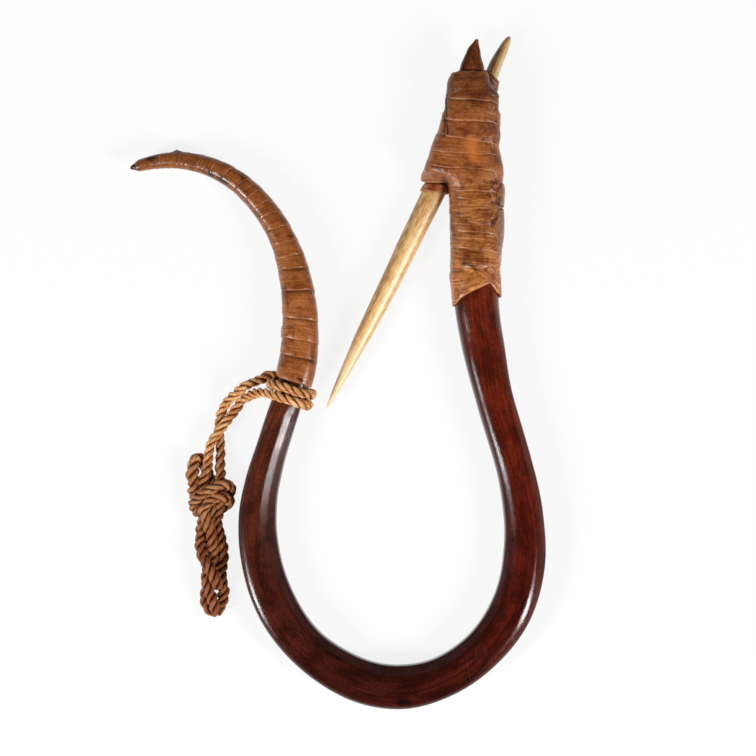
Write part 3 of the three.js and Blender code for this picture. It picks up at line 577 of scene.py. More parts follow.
def even_steps(points, step):
    """Points a fixed step apart along a line of points."""
    run = run_along(points)
    wanted = np.linspace(0, run[-1], int(round(run[-1] / step)) + 1)
    return np.stack([np.interp(wanted, run, column) for column in points.T], axis=1)


def smooth_route(points, fine=24):
    """A centripetal Catmull-Rom curve: each span is a cubic whose end slopes come from its
    neighbours, with the spans' times growing as the square root of their lengths."""
    ends = [2 * points[0] - points[1]], [2 * points[-1] - points[-2]]
    p = np.concatenate([ends[0], points, ends[1]])
    time = np.linalg.norm(np.diff(p, axis=0), axis=1)[:, None] ** 0.5
    a, b, c = time[:-2], time[1:-1], time[2:]
    p0, p1, p2, p3 = p[:-3], p[1:-2], p[2:-1], p[3:]
    slope1 = ((p1 - p0) / a - (p2 - p0) / (a + b) + (p2 - p1) / b) * b
    slope2 = ((p2 - p1) / b - (p3 - p1) / (b + c) + (p3 - p2) / c) * b
    t = np.linspace(0, 1, fine, endpoint=False)[None, :, None]
    p1, p2, slope1, slope2 = (q[:, None, :] for q in (p1, p2, slope1, slope2))
    curve = ((2 * t**3 - 3 * t**2 + 1) * p1 + (t**3 - 2 * t**2 + t) * slope1
             + (3 * t**2 - 2 * t**3) * p2 + (t**3 - t**2) * slope2)
    return np.concatenate([curve.reshape(-1, 3), points[-1:]])


def in_the_ear(line):
    """1 in the loop that stands out of the knot like an ear, 0 elsewhere."""
    low = -line[:, 1]
    return smooth_rise(-line[:, 0], 51, 54) * smooth_rise(low, 31, 34) * (1 - smooth_rise(low, 42, 46))


def drawn_in(line):
    """The tail's legs pulled together, each x by a fifth of its way to the tail's middle line, and the
    ear pressed towards the legs."""
    low = smooth_rise(-line[:, 1], 53, 59)
    pulled = line.copy()
    pulled[:, 0] += TAIL_DRAWN_IN * low * (TAIL_MIDDLE - line[:, 0]) + EAR_PRESSED * in_the_ear(line)
    return pulled


cord_points = np.concatenate([np.array(TO_THE_NECK), neck_turns(), np.array(FROM_THE_NECK)])
cord_line = even_steps(drawn_in(smooth_route(cord_points)), CORD_STEP)

# %% One strand and one loose fibre
LAY_LENGTH = 10.0
STRAND_RADIUS = 1.0
STRAND_OFFSET = 0.92
STRAND_SIDES = 12
STRAND_UV_APART = 600
FIBRE_RINGS, FIBRE_SIDES = 7, 3
FIBRE_START = 1.65
FIBRE_RADIUS = 0.075


def carried_frames(line):
    """Tangent and a side direction that is carried along without turning about the line: each step
    drops what of the last side lies along the new tangent."""
    tangent = np.gradient(line, axis=0)
    tangent /= np.linalg.norm(tangent, axis=1)[:, None]
    side = np.empty_like(tangent)
    last = np.cross(tangent[0], (0.3, 0.2, 1.0))
    for k, direction in enumerate(tangent):
        last = last - direction * (last @ direction)
        last = last / np.linalg.norm(last)
        side[k] = last
    return tangent, side, np.cross(tangent, side)


def slackness(line):
    """How far the twist has opened: more where the cord hangs, and most in the ear, which is looked
    for where it was before it was pressed."""
    low = -line[:, 1]
    hanging = 0.08 * smooth_rise(low, 30, 38) + 0.14 * smooth_rise(low, 52, 60)
    return 1 + hanging + 0.3 * in_the_ear(line + (-1.4, 0, 0))


def strand(line, frames, phase):
    """One strand: line + h (side cos a + up sin a), with a growing by a full turn each lay length.
    Its own rings stand square to the cord, which is close to square to the strand."""
    tangent, side, up = frames
    place = np.arange(len(line)) * CORD_STEP
    seed = int(9 * phase)
    turn = TURN * (place / LAY_LENGTH + phase)
    turn = turn + 0.5 * ripple(place, 53, 3) + 0.12 * ripple(place, 13, 30 + seed)
    slack = slackness(line)
    offset = (STRAND_OFFSET * slack * (1 + 0.16 * ripple(place, 12, 10 + seed)))[:, None]
    middle = line + offset * (side * np.cos(turn)[:, None] + up * np.sin(turn)[:, None])
    angle = around(STRAND_SIDES)
    taper = np.minimum(1, 0.45 + np.minimum(place, place[-1] - place) / 1.5)
    radius = STRAND_RADIUS * slack * taper * (1 + 0.12 * ripple(place, 7, 20 + seed))
    lumps = 1 + 0.08 * ripple(place[:, None] + 2.2 * angle[None, :], 4.1, 40 + seed)
    across, upward = np.cos(angle)[None, :, None], np.sin(angle)[None, :, None]
    ring = side[:, None, :] * across + up[:, None, :] * upward
    girth = np.linspace(0, TURN * STRAND_RADIUS, STRAND_SIDES + 1)
    uv = pairs(place[:, None] + STRAND_UV_APART * phase, girth[None, :] + 0.9 * turn[:, None])
    return middle[:, None, :] + (radius[:, None] * lumps)[..., None] * ring, uv


def loose_fibre(line, frames, start, angle, length, lean):
    """A hair that has worked loose: out + length (tangent (1 - lean) + round lean) s, bowed outward as
    s^1.5, in a three-sided tube that thins towards its end."""
    tangent, side, up = (frame[start] for frame in frames)
    along = np.linspace(0, 1, FIBRE_RINGS)[:, None]
    out = side * math.cos(angle) + up * math.sin(angle)
    round_it = np.cross(tangent, out)
    bow = out * (FIBRE_START + length * 0.42 * along**1.5)
    path = line[start] + bow + length * along * (tangent * (1 - lean) + round_it * lean)
    sides = around(FIBRE_SIDES)[None, :, None]
    ring = FIBRE_RADIUS * (1.15 - along[..., None]) * (out * np.cos(sides) + round_it * np.sin(sides))
    girth = np.linspace(0, 0.4, FIBRE_SIDES + 1)[None, :]
    return path[:, None, :] + ring, pairs(along * length + start, girth)


# %% The leader
LOOSE_FIBRES = 300
ON_THE_GROUND = 0.03

cord_frames = carried_frames(cord_line)
strands = [strand(cord_line, cord_frames, k / 3) for k in range(3)]
chance = np.random.default_rng(12)
loose = [loose_fibre(cord_line, cord_frames, int(chance.uniform(10, len(cord_line) - 10)),
                     chance.uniform(0, TURN), chance.uniform(0.9, 2.4), chance.uniform(-0.6, 0.7))
         for _ in range(LOOSE_FIBRES)]
opened = slackness(cord_line)[:, None]
near_line = [(np.linalg.norm(points - cord_line[:, None, :], axis=2) / opened).ravel()
             for points, uv in strands]
far_out = np.full(LOOSE_FIBRES * FIBRE_RINGS * FIBRE_SIDES, 2.0)
# painted shade: crown is 0 in the grooves between the strands and 1 on their crowns, and the finish darkens
# the grooves by it
crown = smooth_rise(np.concatenate([*near_line, far_out]), 1.1, 1.75)
for points, uv in strands + loose:
    points[..., 2] = np.maximum(points[..., 2], ON_THE_GROUND)
down = -np.concatenate([points[..., 1].ravel() for points, uv in strands + loose])
# painted shade: from the legs down the cord is made darker, most in the grooves between its strands
soiled = 0.12 * smooth_rise(down, 10, 20) + 0.58 * smooth_rise(down, 27, 40) + 0.2 * smooth_rise(down, 50, 62)
LEADER_SOLIDS = ("leader_knot", "leader_tail", "leader_leg_inner", "leader_neck_turns", "leader_leg_outer",
                 "leader_ear_loop")
leader = make_piece("leader_cord", "fibre", LEADER_SOLIDS, strands + loose, crown=crown, soiled=soiled)

# %% [markdown]
# ## The shank
#
# The bent rod is one skin: its section at some eight hundred places along the line. The maker
# worked the front with a knife after the bending. It is nearly flat, and a bevel runs along its
# inner side, wide on the arm with the leader and narrow on the other. That bevel is the face that
# shines. The outer side drops in a tight shoulder, with a bevel of its own that widens towards the
# arm with the barb. Cutting the facets by booleans would leave hard edges, so the front is the
# lower of several heights, each corner rounded over. Under the lashings the rod keeps its plain
# section.

# %% Heights of the front
BEVEL_TILT = math.radians(24)
BEVEL_START = (0.16, 0.10)
BEVEL_CROWN = (0.985, 1.0)
BEVEL_ROUNDING = (28, 6)
BEVEL_MIDDLE = (200, 340, 380, 425), (0.37, 0.5, 0.6, 0.72)
BEVEL_EDGE = (200, 300, 340, 425), (0.54, 0.5, 0.72, 0.88)
FACET_TILT = math.radians(38)
INNER_POWERS = (2.6, 3.4)
OUTER_POWER = 5.0
EDGE_SOFTNESS, INNER_SOFTNESS, OUTER_SOFTNESS = 0.012, 0.02, 0.15
ARM_TO_ARM = (190, 340)
OUTER_BEVEL_TILT = math.radians(38)
OUTER_BEVEL_START = (215, 290, 330, 385, 425), (0.88, 0.8, 0.58, 0.48, 0.6)


def lower_of(first, second, softness):
    """The lower of two heights, with the corner between them rounded over the softness."""
    share = np.clip(0.5 + 0.5 * (second - first) / softness, 0, 1)
    return blend(second, first, share) - softness * share * (1 - share)


def front_height(u, power):
    """(1 - |u|^p)^(1/p), the front of a superellipse at the part u of the half width."""
    return np.clip(1 - np.abs(u) ** power, 0, 1) ** (1 / power)


def worked_front(distance, u, inner, outer, depth):
    """Front height at u, 1 at the top. Where u > 0 it is the lower of the outer shoulder and the outer
    bevel, else the lower of the inner shoulder, the bevel and a steeper facet beyond its edge. The
    bevel falls by w tan(tilt) over a width w, and a parabola rounds it about its middle, more on the
    arm with the barb, where the share right is 1."""
    right = smooth_rise(distance, *ARM_TO_ARM)[:, None]
    middle, edge, outer_start = (np.interp(distance, *table)[:, None]
                                 for table in (BEVEL_MIDDLE, BEVEL_EDGE, OUTER_BEVEL_START))
    start, crown, rounding, power = (blend(*ends, right)
                                     for ends in (BEVEL_START, BEVEL_CROWN, BEVEL_ROUNDING, INNER_POWERS))

    def fallen(part):
        bow = ((part - middle)**2 - (start - middle)**2) / (2 * rounding)
        return inner * (math.tan(BEVEL_TILT) * (part - start) + inner * bow)

    part = np.abs(u)
    bevel = crown - 2 * fallen(part) / depth
    facet = crown - 2 * (fallen(edge) + inner * math.tan(FACET_TILT) * (part - edge)) / depth
    worked = lower_of(bevel, facet, EDGE_SOFTNESS)
    inner_front = lower_of(front_height(u, power), worked, INNER_SOFTNESS)
    outer_bevel = 1 - 2 * outer * math.tan(OUTER_BEVEL_TILT) * (u - outer_start) / depth
    outer_front = lower_of(front_height(u, OUTER_POWER), outer_bevel, OUTER_SOFTNESS)
    return np.where(u > 0, outer_front, np.where(part < start, 1, inner_front))


print("the inner bevel tilts by", round(math.degrees(BEVEL_TILT)), "degrees")

# %% The rod's skin
SHANK_STEP = 0.7
SHANK_SIDES = 104
SIDE_SPREAD = 0.75
BARE_FROM, BARE_TO = (131, 141), (424, 440)
RAISED_TO = (165, 215)
HOLLOW_AT, HOLLOW_REACH, HOLLOW_DEPTH = 236, 16, 1.4
NOSE_LENGTH = 3.2
FRONT_HEIGHT = (6, 9)


def shank_rings():
    """centre + outward * across, at the height back + (front - back) (1 + h) / 2, h being the worked
    front, the plain one under the lashings, or the flat back. The inside of the bend is scooped by
    the hollow's depth * exp(-(d / reach)^2), and the thin end is rounded off like a nose."""
    distance = np.linspace(0, WOOD_LENGTH, int(WOOD_LENGTH / SHANK_STEP))
    centre, outward, along, sizes = wood_at(distance)
    inner, outer, back, front = sizes.T[:, :, None]
    inner = inner - HOLLOW_DEPTH * np.exp(-((distance[:, None] - HOLLOW_AT) / HOLLOW_REACH) ** 2)
    angle = around(SHANK_SIDES)[None, :]
    u = np.sign(np.cos(angle)) * np.abs(np.cos(angle)) ** SIDE_SPREAD
    is_front = np.sin(angle) >= 0
    plain = front_height(u, CORE_POWER)
    bare = (smooth_rise(distance, *BARE_FROM) * (1 - smooth_rise(distance, *BARE_TO)))[:, None]
    over = blend(plain, worked_front(distance, u, inner, outer, front - back), bare)
    under = -np.minimum(plain * BACK_FLATTENING, 1)
    height = np.where(is_front, over, under)
    across = u * np.where(u < 0, inner, outer) * (1 + 0.008 * ripple(distance, 70, 5))[:, None]
    level = (back + front) / 2 + height * (front - back) / 2
    level = level + 0.06 * ripple(distance, 45, 6)[:, None] * is_front * (1 - np.abs(u))
    points = centre[:, None, :] + outward[:, None, :] * across[..., None]
    points = np.concatenate([points, level[..., None]], axis=-1)
    run = np.linalg.norm(np.diff(points, axis=1, append=points[:, :1]), axis=2).cumsum(axis=1)
    girth = np.concatenate([np.zeros((len(run), 1)), run], axis=1)
    # painted shade: marks the inner side, which the finish makes dark
    inner_side = np.broadcast_to(smooth_rise(-u, 0.15, 0.95), level.shape)
    raised = np.broadcast_to(1 - smooth_rise(distance, *RAISED_TO)[:, None], level.shape)
    middle_line = points.mean(axis=1, keepdims=True)
    nose = np.sqrt(np.clip(1 - (1 - distance / NOSE_LENGTH) ** 2, 0.01, 1))
    nose = np.where(distance < NOSE_LENGTH, nose, 1)[:, None, None]
    return middle_line + (points - middle_line) * nose, pairs(distance[:, None], girth), inner_side, raised


def dabs(points, strokes):
    """How strongly soft strokes mark the front: exp(-(d / reach)^2), d being the distance in plan from
    the stroke's line between its two ends."""
    plan = points[..., :2]
    strength = np.zeros(plan.shape[:-1])
    for first, last, reach in strokes:
        along = np.subtract(last, first)
        share = np.clip((plan - first) @ along / (along @ along), 0, 1)
        apart = np.linalg.norm(plan - first - share[..., None] * along, axis=-1)
        strength = np.maximum(strength, np.exp(-(apart / reach) ** 2))
    return strength * smooth_rise(points[..., 2], *FRONT_HEIGHT)


KNOT_IN_THE_WOOD = [((23.6, -124.2), (26.2, -124.4), 1.3)]
SCUFFED_PLACE = [((57.0, -105.5), (50.0, -111.5), 3.5)]
shank_points, shank_uv, inner_side, raised = shank_rings()
shank = make_piece("shank_wood", "wood", ["shank"], [(shank_points, shank_uv)], inner_side=inner_side,
                   knot=dabs(shank_points, KNOT_IN_THE_WOOD), raised=raised,
                   scuffed=dabs(shank_points, SCUFFED_PLACE))

# %% [markdown]
# ## The barb
#
# The barb is a sliver of bone, scraped to a long point. A lathed cone would look machined. Its
# radius is carried round a straight axis, made a little flatter across the view and given shallow
# scraped facets that run along it. Each point is marked with its brown tone, with painted shade
# on the left side and at the stub, and with a painted highlight along the ridge.

# %% The bone
BARB_SIDES = 40
BARB_FLATNESS = 0.97
STUB_PROFILE = (-0.9, -0.4, 0.4, 1.5, 3.0, 5.7, 10, 15, 22), (0.35, 0.75, 1.1, 1.4, 1.65, 2.0, 2.4, 2.6, 2.8)
# painted shade: a dark dab in the gap beside the stub band
STUB_GAP_SHADE = [((59.6, 108.0), (61.0, 105.4), 1.2)]


def barb_rings():
    """Radius times a facet wave round an axis: r (1 + f cos(facets)), flattened in height. left is
    the cosine towards the hook's left, stub is 1 on the short end above the lashing."""
    distance = np.concatenate([np.linspace(-0.9, 3, 12), np.linspace(3.5, 156, 300), [156.6, 156.9]])
    smooth = np.convolve(barb_radius(np.arange(-6, 165, 0.5)), np.ones(13) / 13, "same")
    radius = np.interp(distance, np.arange(-6, 165, 0.5), smooth)
    radius = np.where(distance < 22, np.interp(distance, *STUB_PROFILE), radius)
    radius = np.where(distance > 150, np.minimum(radius, barb_radius(distance)), radius)[:, None]
    angle = around(BARB_SIDES)[None, :]
    facet = 0.02 * np.cos(5 * angle + 0.6) + 0.015 * np.cos(3 * angle + distance[:, None] / 60)
    uneven = 0.012 * ripple(distance, 33, 8)[:, None]
    reach = radius * (1 + facet + uneven)
    wander = 0.25 * ripple(distance, 120, 9)[:, None] * smooth_rise(distance, 60, 110)[:, None]
    across = reach * np.cos(angle) + wander + 0.5 * (1 - smooth_rise(distance, 10, 18))[:, None]
    points = BARB_TOP + distance[:, None, None] * BARB_AXIS + across[..., None] * BARB_OUTWARD
    points[..., 2] += BARB_FLATNESS * reach * np.sin(angle)
    girth = np.linspace(0, TURN * BARB_RADIUS, BARB_SIDES + 1)[None, :]
    left, is_front = np.cos(angle), np.sin(angle) > 0
    stub = 1 - smooth_rise(distance, 20, 26)[:, None]
    # painted shade: the left side and the stub's left half are browned as shade; near the lashed end the bone
    # is brown in tone
    brown_and_painted_shade = smooth_rise(left, 0.05, 0.8) * (1 - 0.6 * smooth_rise(distance, 110, 150)[:, None])
    brown_and_painted_shade = np.maximum(brown_and_painted_shade, smooth_rise(left, -0.35, 0.2) * stub)
    brown_and_painted_shade = np.maximum(brown_and_painted_shade, 0.7 * (1 - smooth_rise(distance, 66, 92))[:, None])
    # painted highlight: a pale line down the front of the ridge and on the stub; the last part makes the
    # point pale, which is the bone's own colour
    ridge_highlight_and_pale_point = np.exp(-((left + 0.32) / 0.17) ** 2) * is_front * smooth_rise(distance, 72, 95)[:, None]
    ridge_highlight_and_pale_point = ridge_highlight_and_pale_point + 0.5 * stub * np.exp(-((left + 0.6) / 0.3) ** 2) * is_front
    ridge_highlight_and_pale_point = np.maximum(ridge_highlight_and_pale_point, 0.85 * smooth_rise(distance, 122, 152)[:, None])
    # painted shade: the stub's left half and the gap beside the stub band are made dark
    stains_and_painted_shade = np.maximum(0.4 * stub * smooth_rise(left, -0.2, 0.5), dabs(points, STUB_GAP_SHADE))
    return points, pairs(distance[:, None], girth), {"brown_and_painted_shade": brown_and_painted_shade, "ridge_highlight_and_pale_point": ridge_highlight_and_pale_point, "stains_and_painted_shade": stains_and_painted_shade}


barb_points, barb_uv, barb_marks = barb_rings()
barb = make_piece("barb_bone", "bone", ["barb"], [(barb_points, barb_uv)], **barb_marks)

# %% [markdown]
# ## Bark strip
#
# The lashings are strips of split bark, wound wet and tight, each turn lapped over its neighbour
# like a shingle. A sleeve with lines drawn on it would have no steps at its edges. A strip is a
# closed skin as well: its ring is the strip's own thin section, top and underside, and the rings
# follow the core round. The hidden edge is thin and lies low, the edge that shows lies high, and
# the small step between them draws the lines across a lashing.

# %% One strip on a core
ACROSS_TOP = np.array([0, 0.06, 0.12, 0.16, 0.2, 0.25, 0.31, 0.42, 0.54, 0.66, 0.77, 0.86, 0.93, 0.965,
                       0.985, 1])
ACROSS_UNDER = np.array([0.98, 0.88, 0.68, 0.4, 0.1])
ACROSS = np.concatenate([ACROSS_TOP, ACROSS_UNDER])[None, :]
IS_TOP = np.arange(ACROSS.size)[None, :] < len(ACROSS_TOP)
TURN_STEPS = 96
MM_PER_TURN = 45.0
TUCK = 0.03
STRIP_UV_APART = 70.0


def bark_strip(core, turned, hidden, shown, seed, body=1.0, lift=0.0, on_core=0.0, wrinkle=0.05, ragged=0.14,
               bulge=None, tucked=True):
    """Rings of a strip at each share turned, from its hidden edge (v = 0) to its shown edge (v = 1).
    Top height: body (0.42 + 0.5 rise(v) + 0.14 v), rounded off at v = 1. The underside lies on the
    core, and rises under the shown edge except where that edge is on the core itself."""
    turned = np.asarray(turned, float)[:, None]
    hidden, shown, lift, on_core = (np.broadcast_to(np.asarray(x, float), turned[:, 0].shape)[:, None]
                                    for x in (hidden, shown, lift, on_core))
    place = turned * MM_PER_TURN
    wave = ragged * ripple(place, 8.0, seed) * smooth_rise(ACROSS, 0.4, 1.0)
    distance = hidden + (shown - hidden) * ACROSS + np.sign(shown - hidden) * wave
    top = 0.42 + 0.5 * smooth_rise(ACROSS, -0.02, 0.28) + 0.14 * ACROSS - 0.2 * smooth_rise(ACROSS, 0.95, 1.0)
    under = 0.03 + 0.5 * (1 - on_core) * smooth_rise(ACROSS, 0.72, 0.98)
    uneven = 0.6 + 0.4 * ripple(distance, 2.6, seed + 90)
    creases = wrinkle * ripple(place + 3 * ACROSS, 3.1, seed + 50) * uneven
    swell = 0.07 * ripple(place + 2 * distance, 19, seed + 30)
    height = lift + np.where(IS_TOP, body * top + creases + swell, body * under)
    if tucked:
        going_in = smooth_rise(turned, turned[0], turned[0] + TUCK)
        coming_out = 1 - smooth_rise(turned, turned[-1] - TUCK, turned[-1])
        height = height * (0.25 + 0.75 * going_in * coming_out)
    if bulge is not None:
        height = height + bulge(turned, distance) * np.where(IS_TOP, 1, 0.6)
    points = core.at(distance, turned, height)
    run = run_along(points[:, 8])[:, None]
    across = np.abs(shown - hidden) * np.concatenate([ACROSS, ACROSS[:, :1]], axis=1)
    return points, pairs(run + STRIP_UV_APART * seed, across)


print("points round a strip:", ACROSS.size)

# %% A lapped winding
OVERLAP = 1.7
LAP_REACH = 0.08


def winding(core, edge, own, seed, shown="high", finer=None, **looks):
    """A lapped winding whose shown edge runs through the (turned, distance) pairs of edge. Its hidden
    edge lies a little under the turn beside it, or through the pairs own where no turn covers it."""
    edge, own = np.array(edge, float), np.array(own, float)
    start, end = edge[0, 0], edge[-1, 0]
    turned = np.linspace(start, end, int((end - start) * TURN_STEPS) + 1)
    if finer:
        turns = range(int(start), int(end) + 1)
        extra = np.concatenate([np.linspace(k + finer[0], k + finer[1], 30) for k in turns])
        turned = np.union1d(turned, extra[(extra > start) & (extra < end)])
    here = np.interp(turned, edge[:, 0], edge[:, 1])
    side = 1 if shown == "low" else -1
    hidden = np.interp(turned + side, edge[:, 0], edge[:, 1]) + side * OVERLAP
    uncovered = (turned + side < start) | (turned + side > end)
    hidden = np.where(uncovered, np.interp(turned, own[:, 0], own[:, 1]), hidden)
    if shown == "low":
        on_core = 1 - smooth_rise(turned, start + 1 - LAP_REACH, start + 1 + LAP_REACH)
    else:
        on_core = smooth_rise(turned, end - 1 - LAP_REACH, end - 1 + LAP_REACH)
    return bark_strip(core, turned, hidden, here, seed, on_core=on_core, **looks)


def mound(turned_at, turned_reach, distance_at, distance_reach, height):
    """A smooth hump: height * exp(-(a^2 + b^2)), a and b being the ways from its top over its reaches."""
    def bulge(turned, distance):
        a = ((turned % 1.0) - turned_at) / turned_reach
        b = (distance - distance_at) / distance_reach
        return height * np.exp(-a * a - b * b)
    return bulge


print("each turn goes", OVERLAP, "mm under the next")

# %% Shades and stains of the strips, and painted shade in their gaps
# Dark dabs. The slit beside the barb, the gap by the barb's stub, the gap between the loose ends, the notch
# under the root band and the line under the bulge of the lower run get painted shade. The rest are dark marks
# on the bark.
DARK_DABS = [
    ((-71.4, 81.2), (-70.2, 81.9), 1.2), ((-48.2, 75.6), (-47.2, 75.2), 1.1),
    ((-44.4, 73.3), (-42.6, 72.4), 1.4), ((-14.6, 50.7), (-12.6, 50.3), 0.6),
    ((-14.3, -1.9), (-12.6, -3.6), 0.7), ((47.6, 40.9), (50.4, 40.7), 0.75),
    ((50.4, 40.7), (52.7, 38.5), 0.75), ((61.4, 65.9), (60.6, 63.2), 0.9),
    ((40.2, 72.5), (41.4, 71.4), 1.2), ((41.3, 104.6), (41.2, 97.0), 0.42),
    ((41.2, 97.0), (41.7, 90.0), 0.42), ((59.6, 107.8), (61.0, 105.2), 0.9),
    ((57.6, 111.5), (60.2, 107.5), 0.4),
]
WORN_DABS = [((50.6, 86.6), (51.4, 80.9), 2.1)]
ARM_SHADES = (24, 30, 40, 46, 70, 84, 94, 103, 111), (1.2, 1.25, 1.15, 0.98, 0.9, 0.88, 0.85, 0.68, 0.48)
CURL_SHADES = (-5, 20, 45, 60, 78), (0.95, 0.93, 0.88, 0.78, 0.68)


def strip_piece(name, node, *parts, darker=1.0):
    """A piece of strips. Each point is marked with how near it is to the shown edge (painted highlight)
    and to the groove beside the neighbour's edge (painted shade), with its shade by its height on its
    arm times darker, and with stains, painted shade in gaps, and wear."""
    marks = {"edge": [], "groove": [], "shade": [], "stains_and_painted_shade": [], "worn": []}
    for points, uv in parts:
        shade = blend(*(np.interp(points[..., 1], *shades) for shades in (CURL_SHADES, ARM_SHADES)),
                      smooth_rise(points[..., 0], 25, 30))
        # edge marks the shown edge for a painted highlight, groove the lap groove for painted shade
        found = (smooth_rise(ACROSS, 0.94, 1.0), 1 - smooth_rise(np.abs(ACROSS - 0.19), 0.02, 0.09),
                 darker * shade, dabs(points, DARK_DABS), dabs(points, WORN_DABS))
        for values, one in zip(marks.values(), found):
            values.append(np.broadcast_to(one, points.shape[:2]).ravel())
    return make_piece(name, "bark", [node], parts, **{mark: np.concatenate(v) for mark, v in marks.items()})


print("stains on the bark:", len(DARK_DABS))

# %% [markdown]
# ## The wrapped curl
#
# The thin end has a cap of one wide strip, then a very narrow strip that shows as fine ribs. From
# there two runs of wider strip cover the arm down to the neck. On this arm each turn's lower edge,
# seen as the hook is photographed, lies over the next turn. An even spiral would look wound by a
# machine, so the edges are listed as pairs of share turned and distance.

# %% Left arm
cap_turned = np.linspace(0.1, 1.75, 120)
cap = bark_strip(wood_core, cap_turned, 2.3 + 0.4 * np.sin(5 * cap_turned), 8.8, 2, body=0.75, on_core=1.0)
RIB_PITCH = 1.18
rib_turned = np.linspace(0, 9.2, 9 * 48)
bump = mound(0.47, 0.05, 18.2, 1.3, 1.0)
ribs = bark_strip(wood_core, rib_turned, 6.6 + RIB_PITCH * rib_turned, 8.5 + RIB_PITCH * rib_turned, 3,
                  body=0.85, wrinkle=0.015, ragged=0.06, bulge=bump)
tip_whipping = strip_piece("bark_tip_whipping", "tip_whipping", cap, ribs)

upper_edges = [(0, 21.0), (1.15, 26.5), (2.15, 32.0), (3.15, 37.3), (4.15, 44.2), (5.15, 50.5),
               (6.15, 55.5), (7.15, 60.3), (8.15, 66.0), (9.15, 72.5), (10.15, 78.0), (11.08, 81.9),
               (11.44, 84.4), (11.9, 86.2)]
left_upper = strip_piece("bark_left_upper", "left_lashing_upper", winding(
    wood_core, upper_edges, [(0, 17.0), (1, 19.3)], 4, body=0.95, wrinkle=0.04, ragged=0.2, bulge=bump))

lower_edges = [(0, 89.8), (0.08, 90.7), (0.44, 92.5), (0.75, 96.0), (1.03, 101.0), (1.45, 103.7),
               (1.75, 106.2), (2.01, 109.2), (2.44, 111.5), (2.75, 113.5), (3.01, 116.0), (3.42, 117.4),
               (3.75, 121.5), (4.07, 126.0), (4.41, 126.8), (4.95, 127.0)]
left_lower = strip_piece("bark_left_lower", "left_lashing_lower", winding(
    wood_core, lower_edges, [(0, 80.2), (0.44, 82.6), (1, 88.1)], 5, body=1.1, ragged=0.1, wrinkle=0.035))
tab = strip_piece("bark_tab", "strip_end_tab", bark_strip(
    wood_core, np.linspace(-0.03, 0.2, 40), 105.2, 109.4, 6, body=0.45, lift=1.12, on_core=1.0, tucked=False,
    ragged=0.3))

# %% [markdown]
# ## The lashed arm
#
# The lashing on the other arm starts with a band that crosses over itself. A strip with many fine
# fibre lines climbs the arm to the barb, and three more runs hold wood and barb together. These
# turns lap the other way along the arm, so that here too the lower edge lies on top. Loose strip
# ends lie along the arm's side, and they are strips as well, lifted off the lashing.

# %% The band at the foot
BAND_LOW = ((0, 0.1, 0.2, 0.3, 0.4, 0.5, 0.75, 0.95, 1.0, 1.1, 1.17, 1.24, 1.3, 1.4, 1.5),
            (457.5, 455.5, 452.9, 449.6, 446.6, 445.8, 446.2, 447.6, 448.0, 449.5, 453.2, 457.6, 460.6,
             463.8, 465.0))
BAND_WIDTH = (0, 0.3, 0.42, 0.6, 0.75, 1.0, 1.1, 1.5), (10.5, 11.5, 14.5, 15, 13, 10, 9, 8.5)
band_turned = np.linspace(0, 1.5, 150)
band_edge = np.interp(band_turned, *BAND_LOW)
second_pass = smooth_rise(band_turned, 0.9, 1.05)
band_swelling = mound(0.5, 0.09, 456.5, 3.5, 0.6)


def under_the_run(turned, distance):
    """The band swells on its inner side, and its second pass goes down under the run above it."""
    second = smooth_rise(turned, 0.9, 1.05)
    return band_swelling(turned, distance) - 0.8 * second * smooth_rise(distance, 460.5, 464)


crossing = strip_piece("bark_foot_band", "foot_band", bark_strip(
    wood_core, band_turned, band_edge + np.interp(band_turned, *BAND_WIDTH), band_edge, 7, body=0.9,
    lift=0.45 * second_pass, on_core=1.0, wrinkle=0.03, ragged=0.08, bulge=under_the_run))

# %% The run below the barb, and the loose ends
run_edges = [(0, 460.5), (0.1, 460.3), (0.2, 459.3), (0.26, 457.9), (0.3, 458.4), (0.34, 459.7),
             (0.4, 459.6), (0.5, 458.9), (0.75, 461.5), (1.0, 464.6), (1.25, 466.0), (1.5, 468.0),
             (2.01, 470.3), (2.22, 472.4), (2.5, 474.0), (3.0, 476.5), (3.25, 478.3), (3.5, 480.0),
             (4.0, 483.0), (4.25, 485.0), (4.5, 486.5), (5.0, 487.6), (5.3, 488.3), (5.6, 489.0)]
run = winding(wood_core, run_edges, [(4.6, 491.5), (5.6, 494.5)], 8, shown="low", body=1.05,
              wrinkle=0.08, ragged=0.25, bulge=mound(0.26, 0.055, 460.8, 2.2, 1.3))
top_turned = np.linspace(0.175, 0.35, 40)


def over_the_top(turned, distance):
    """The strip's last end goes down by 1.2 mm where it passes the run's upper edge."""
    return -1.2 * smooth_rise(distance, 486, 488.5)


top_end = bark_strip(wood_core, top_turned, 490.5, np.interp(top_turned, (0.175, 0.3), (475.4, 476.6)), 9,
                     body=0.5, lift=1.0 - 0.95 * smooth_rise(top_turned, 0.2, 0.34), on_core=1.0,
                     tucked=False, ragged=0.3, bulge=over_the_top)
right_lower = strip_piece("bark_right_lower", "right_lashing_lower", run, top_end)


def flap(turned, low, high, seed, lift, swelling, lower_rest=0.0):
    """A loose strip end: its edges run through the (turned, distance) pairs. It stands off by lift +
    swelling * exp(-(t / 0.06)^2) about the arm's side, and rests on the lashing at its lower end."""
    low, high = np.array(low), np.array(high)
    off = lift + swelling * np.exp(-((turned + 0.01) / 0.06) ** 2)
    return bark_strip(wood_core, turned, np.interp(turned, high[:, 0], high[:, 1]),
                      np.interp(turned, low[:, 0], low[:, 1]), seed, body=0.55, lift=off, on_core=1.0,
                      tucked=False, wrinkle=0.06, ragged=0.25,
                      bulge=lambda turned, distance: -lower_rest * (1 - smooth_rise(distance, 463, 474)))


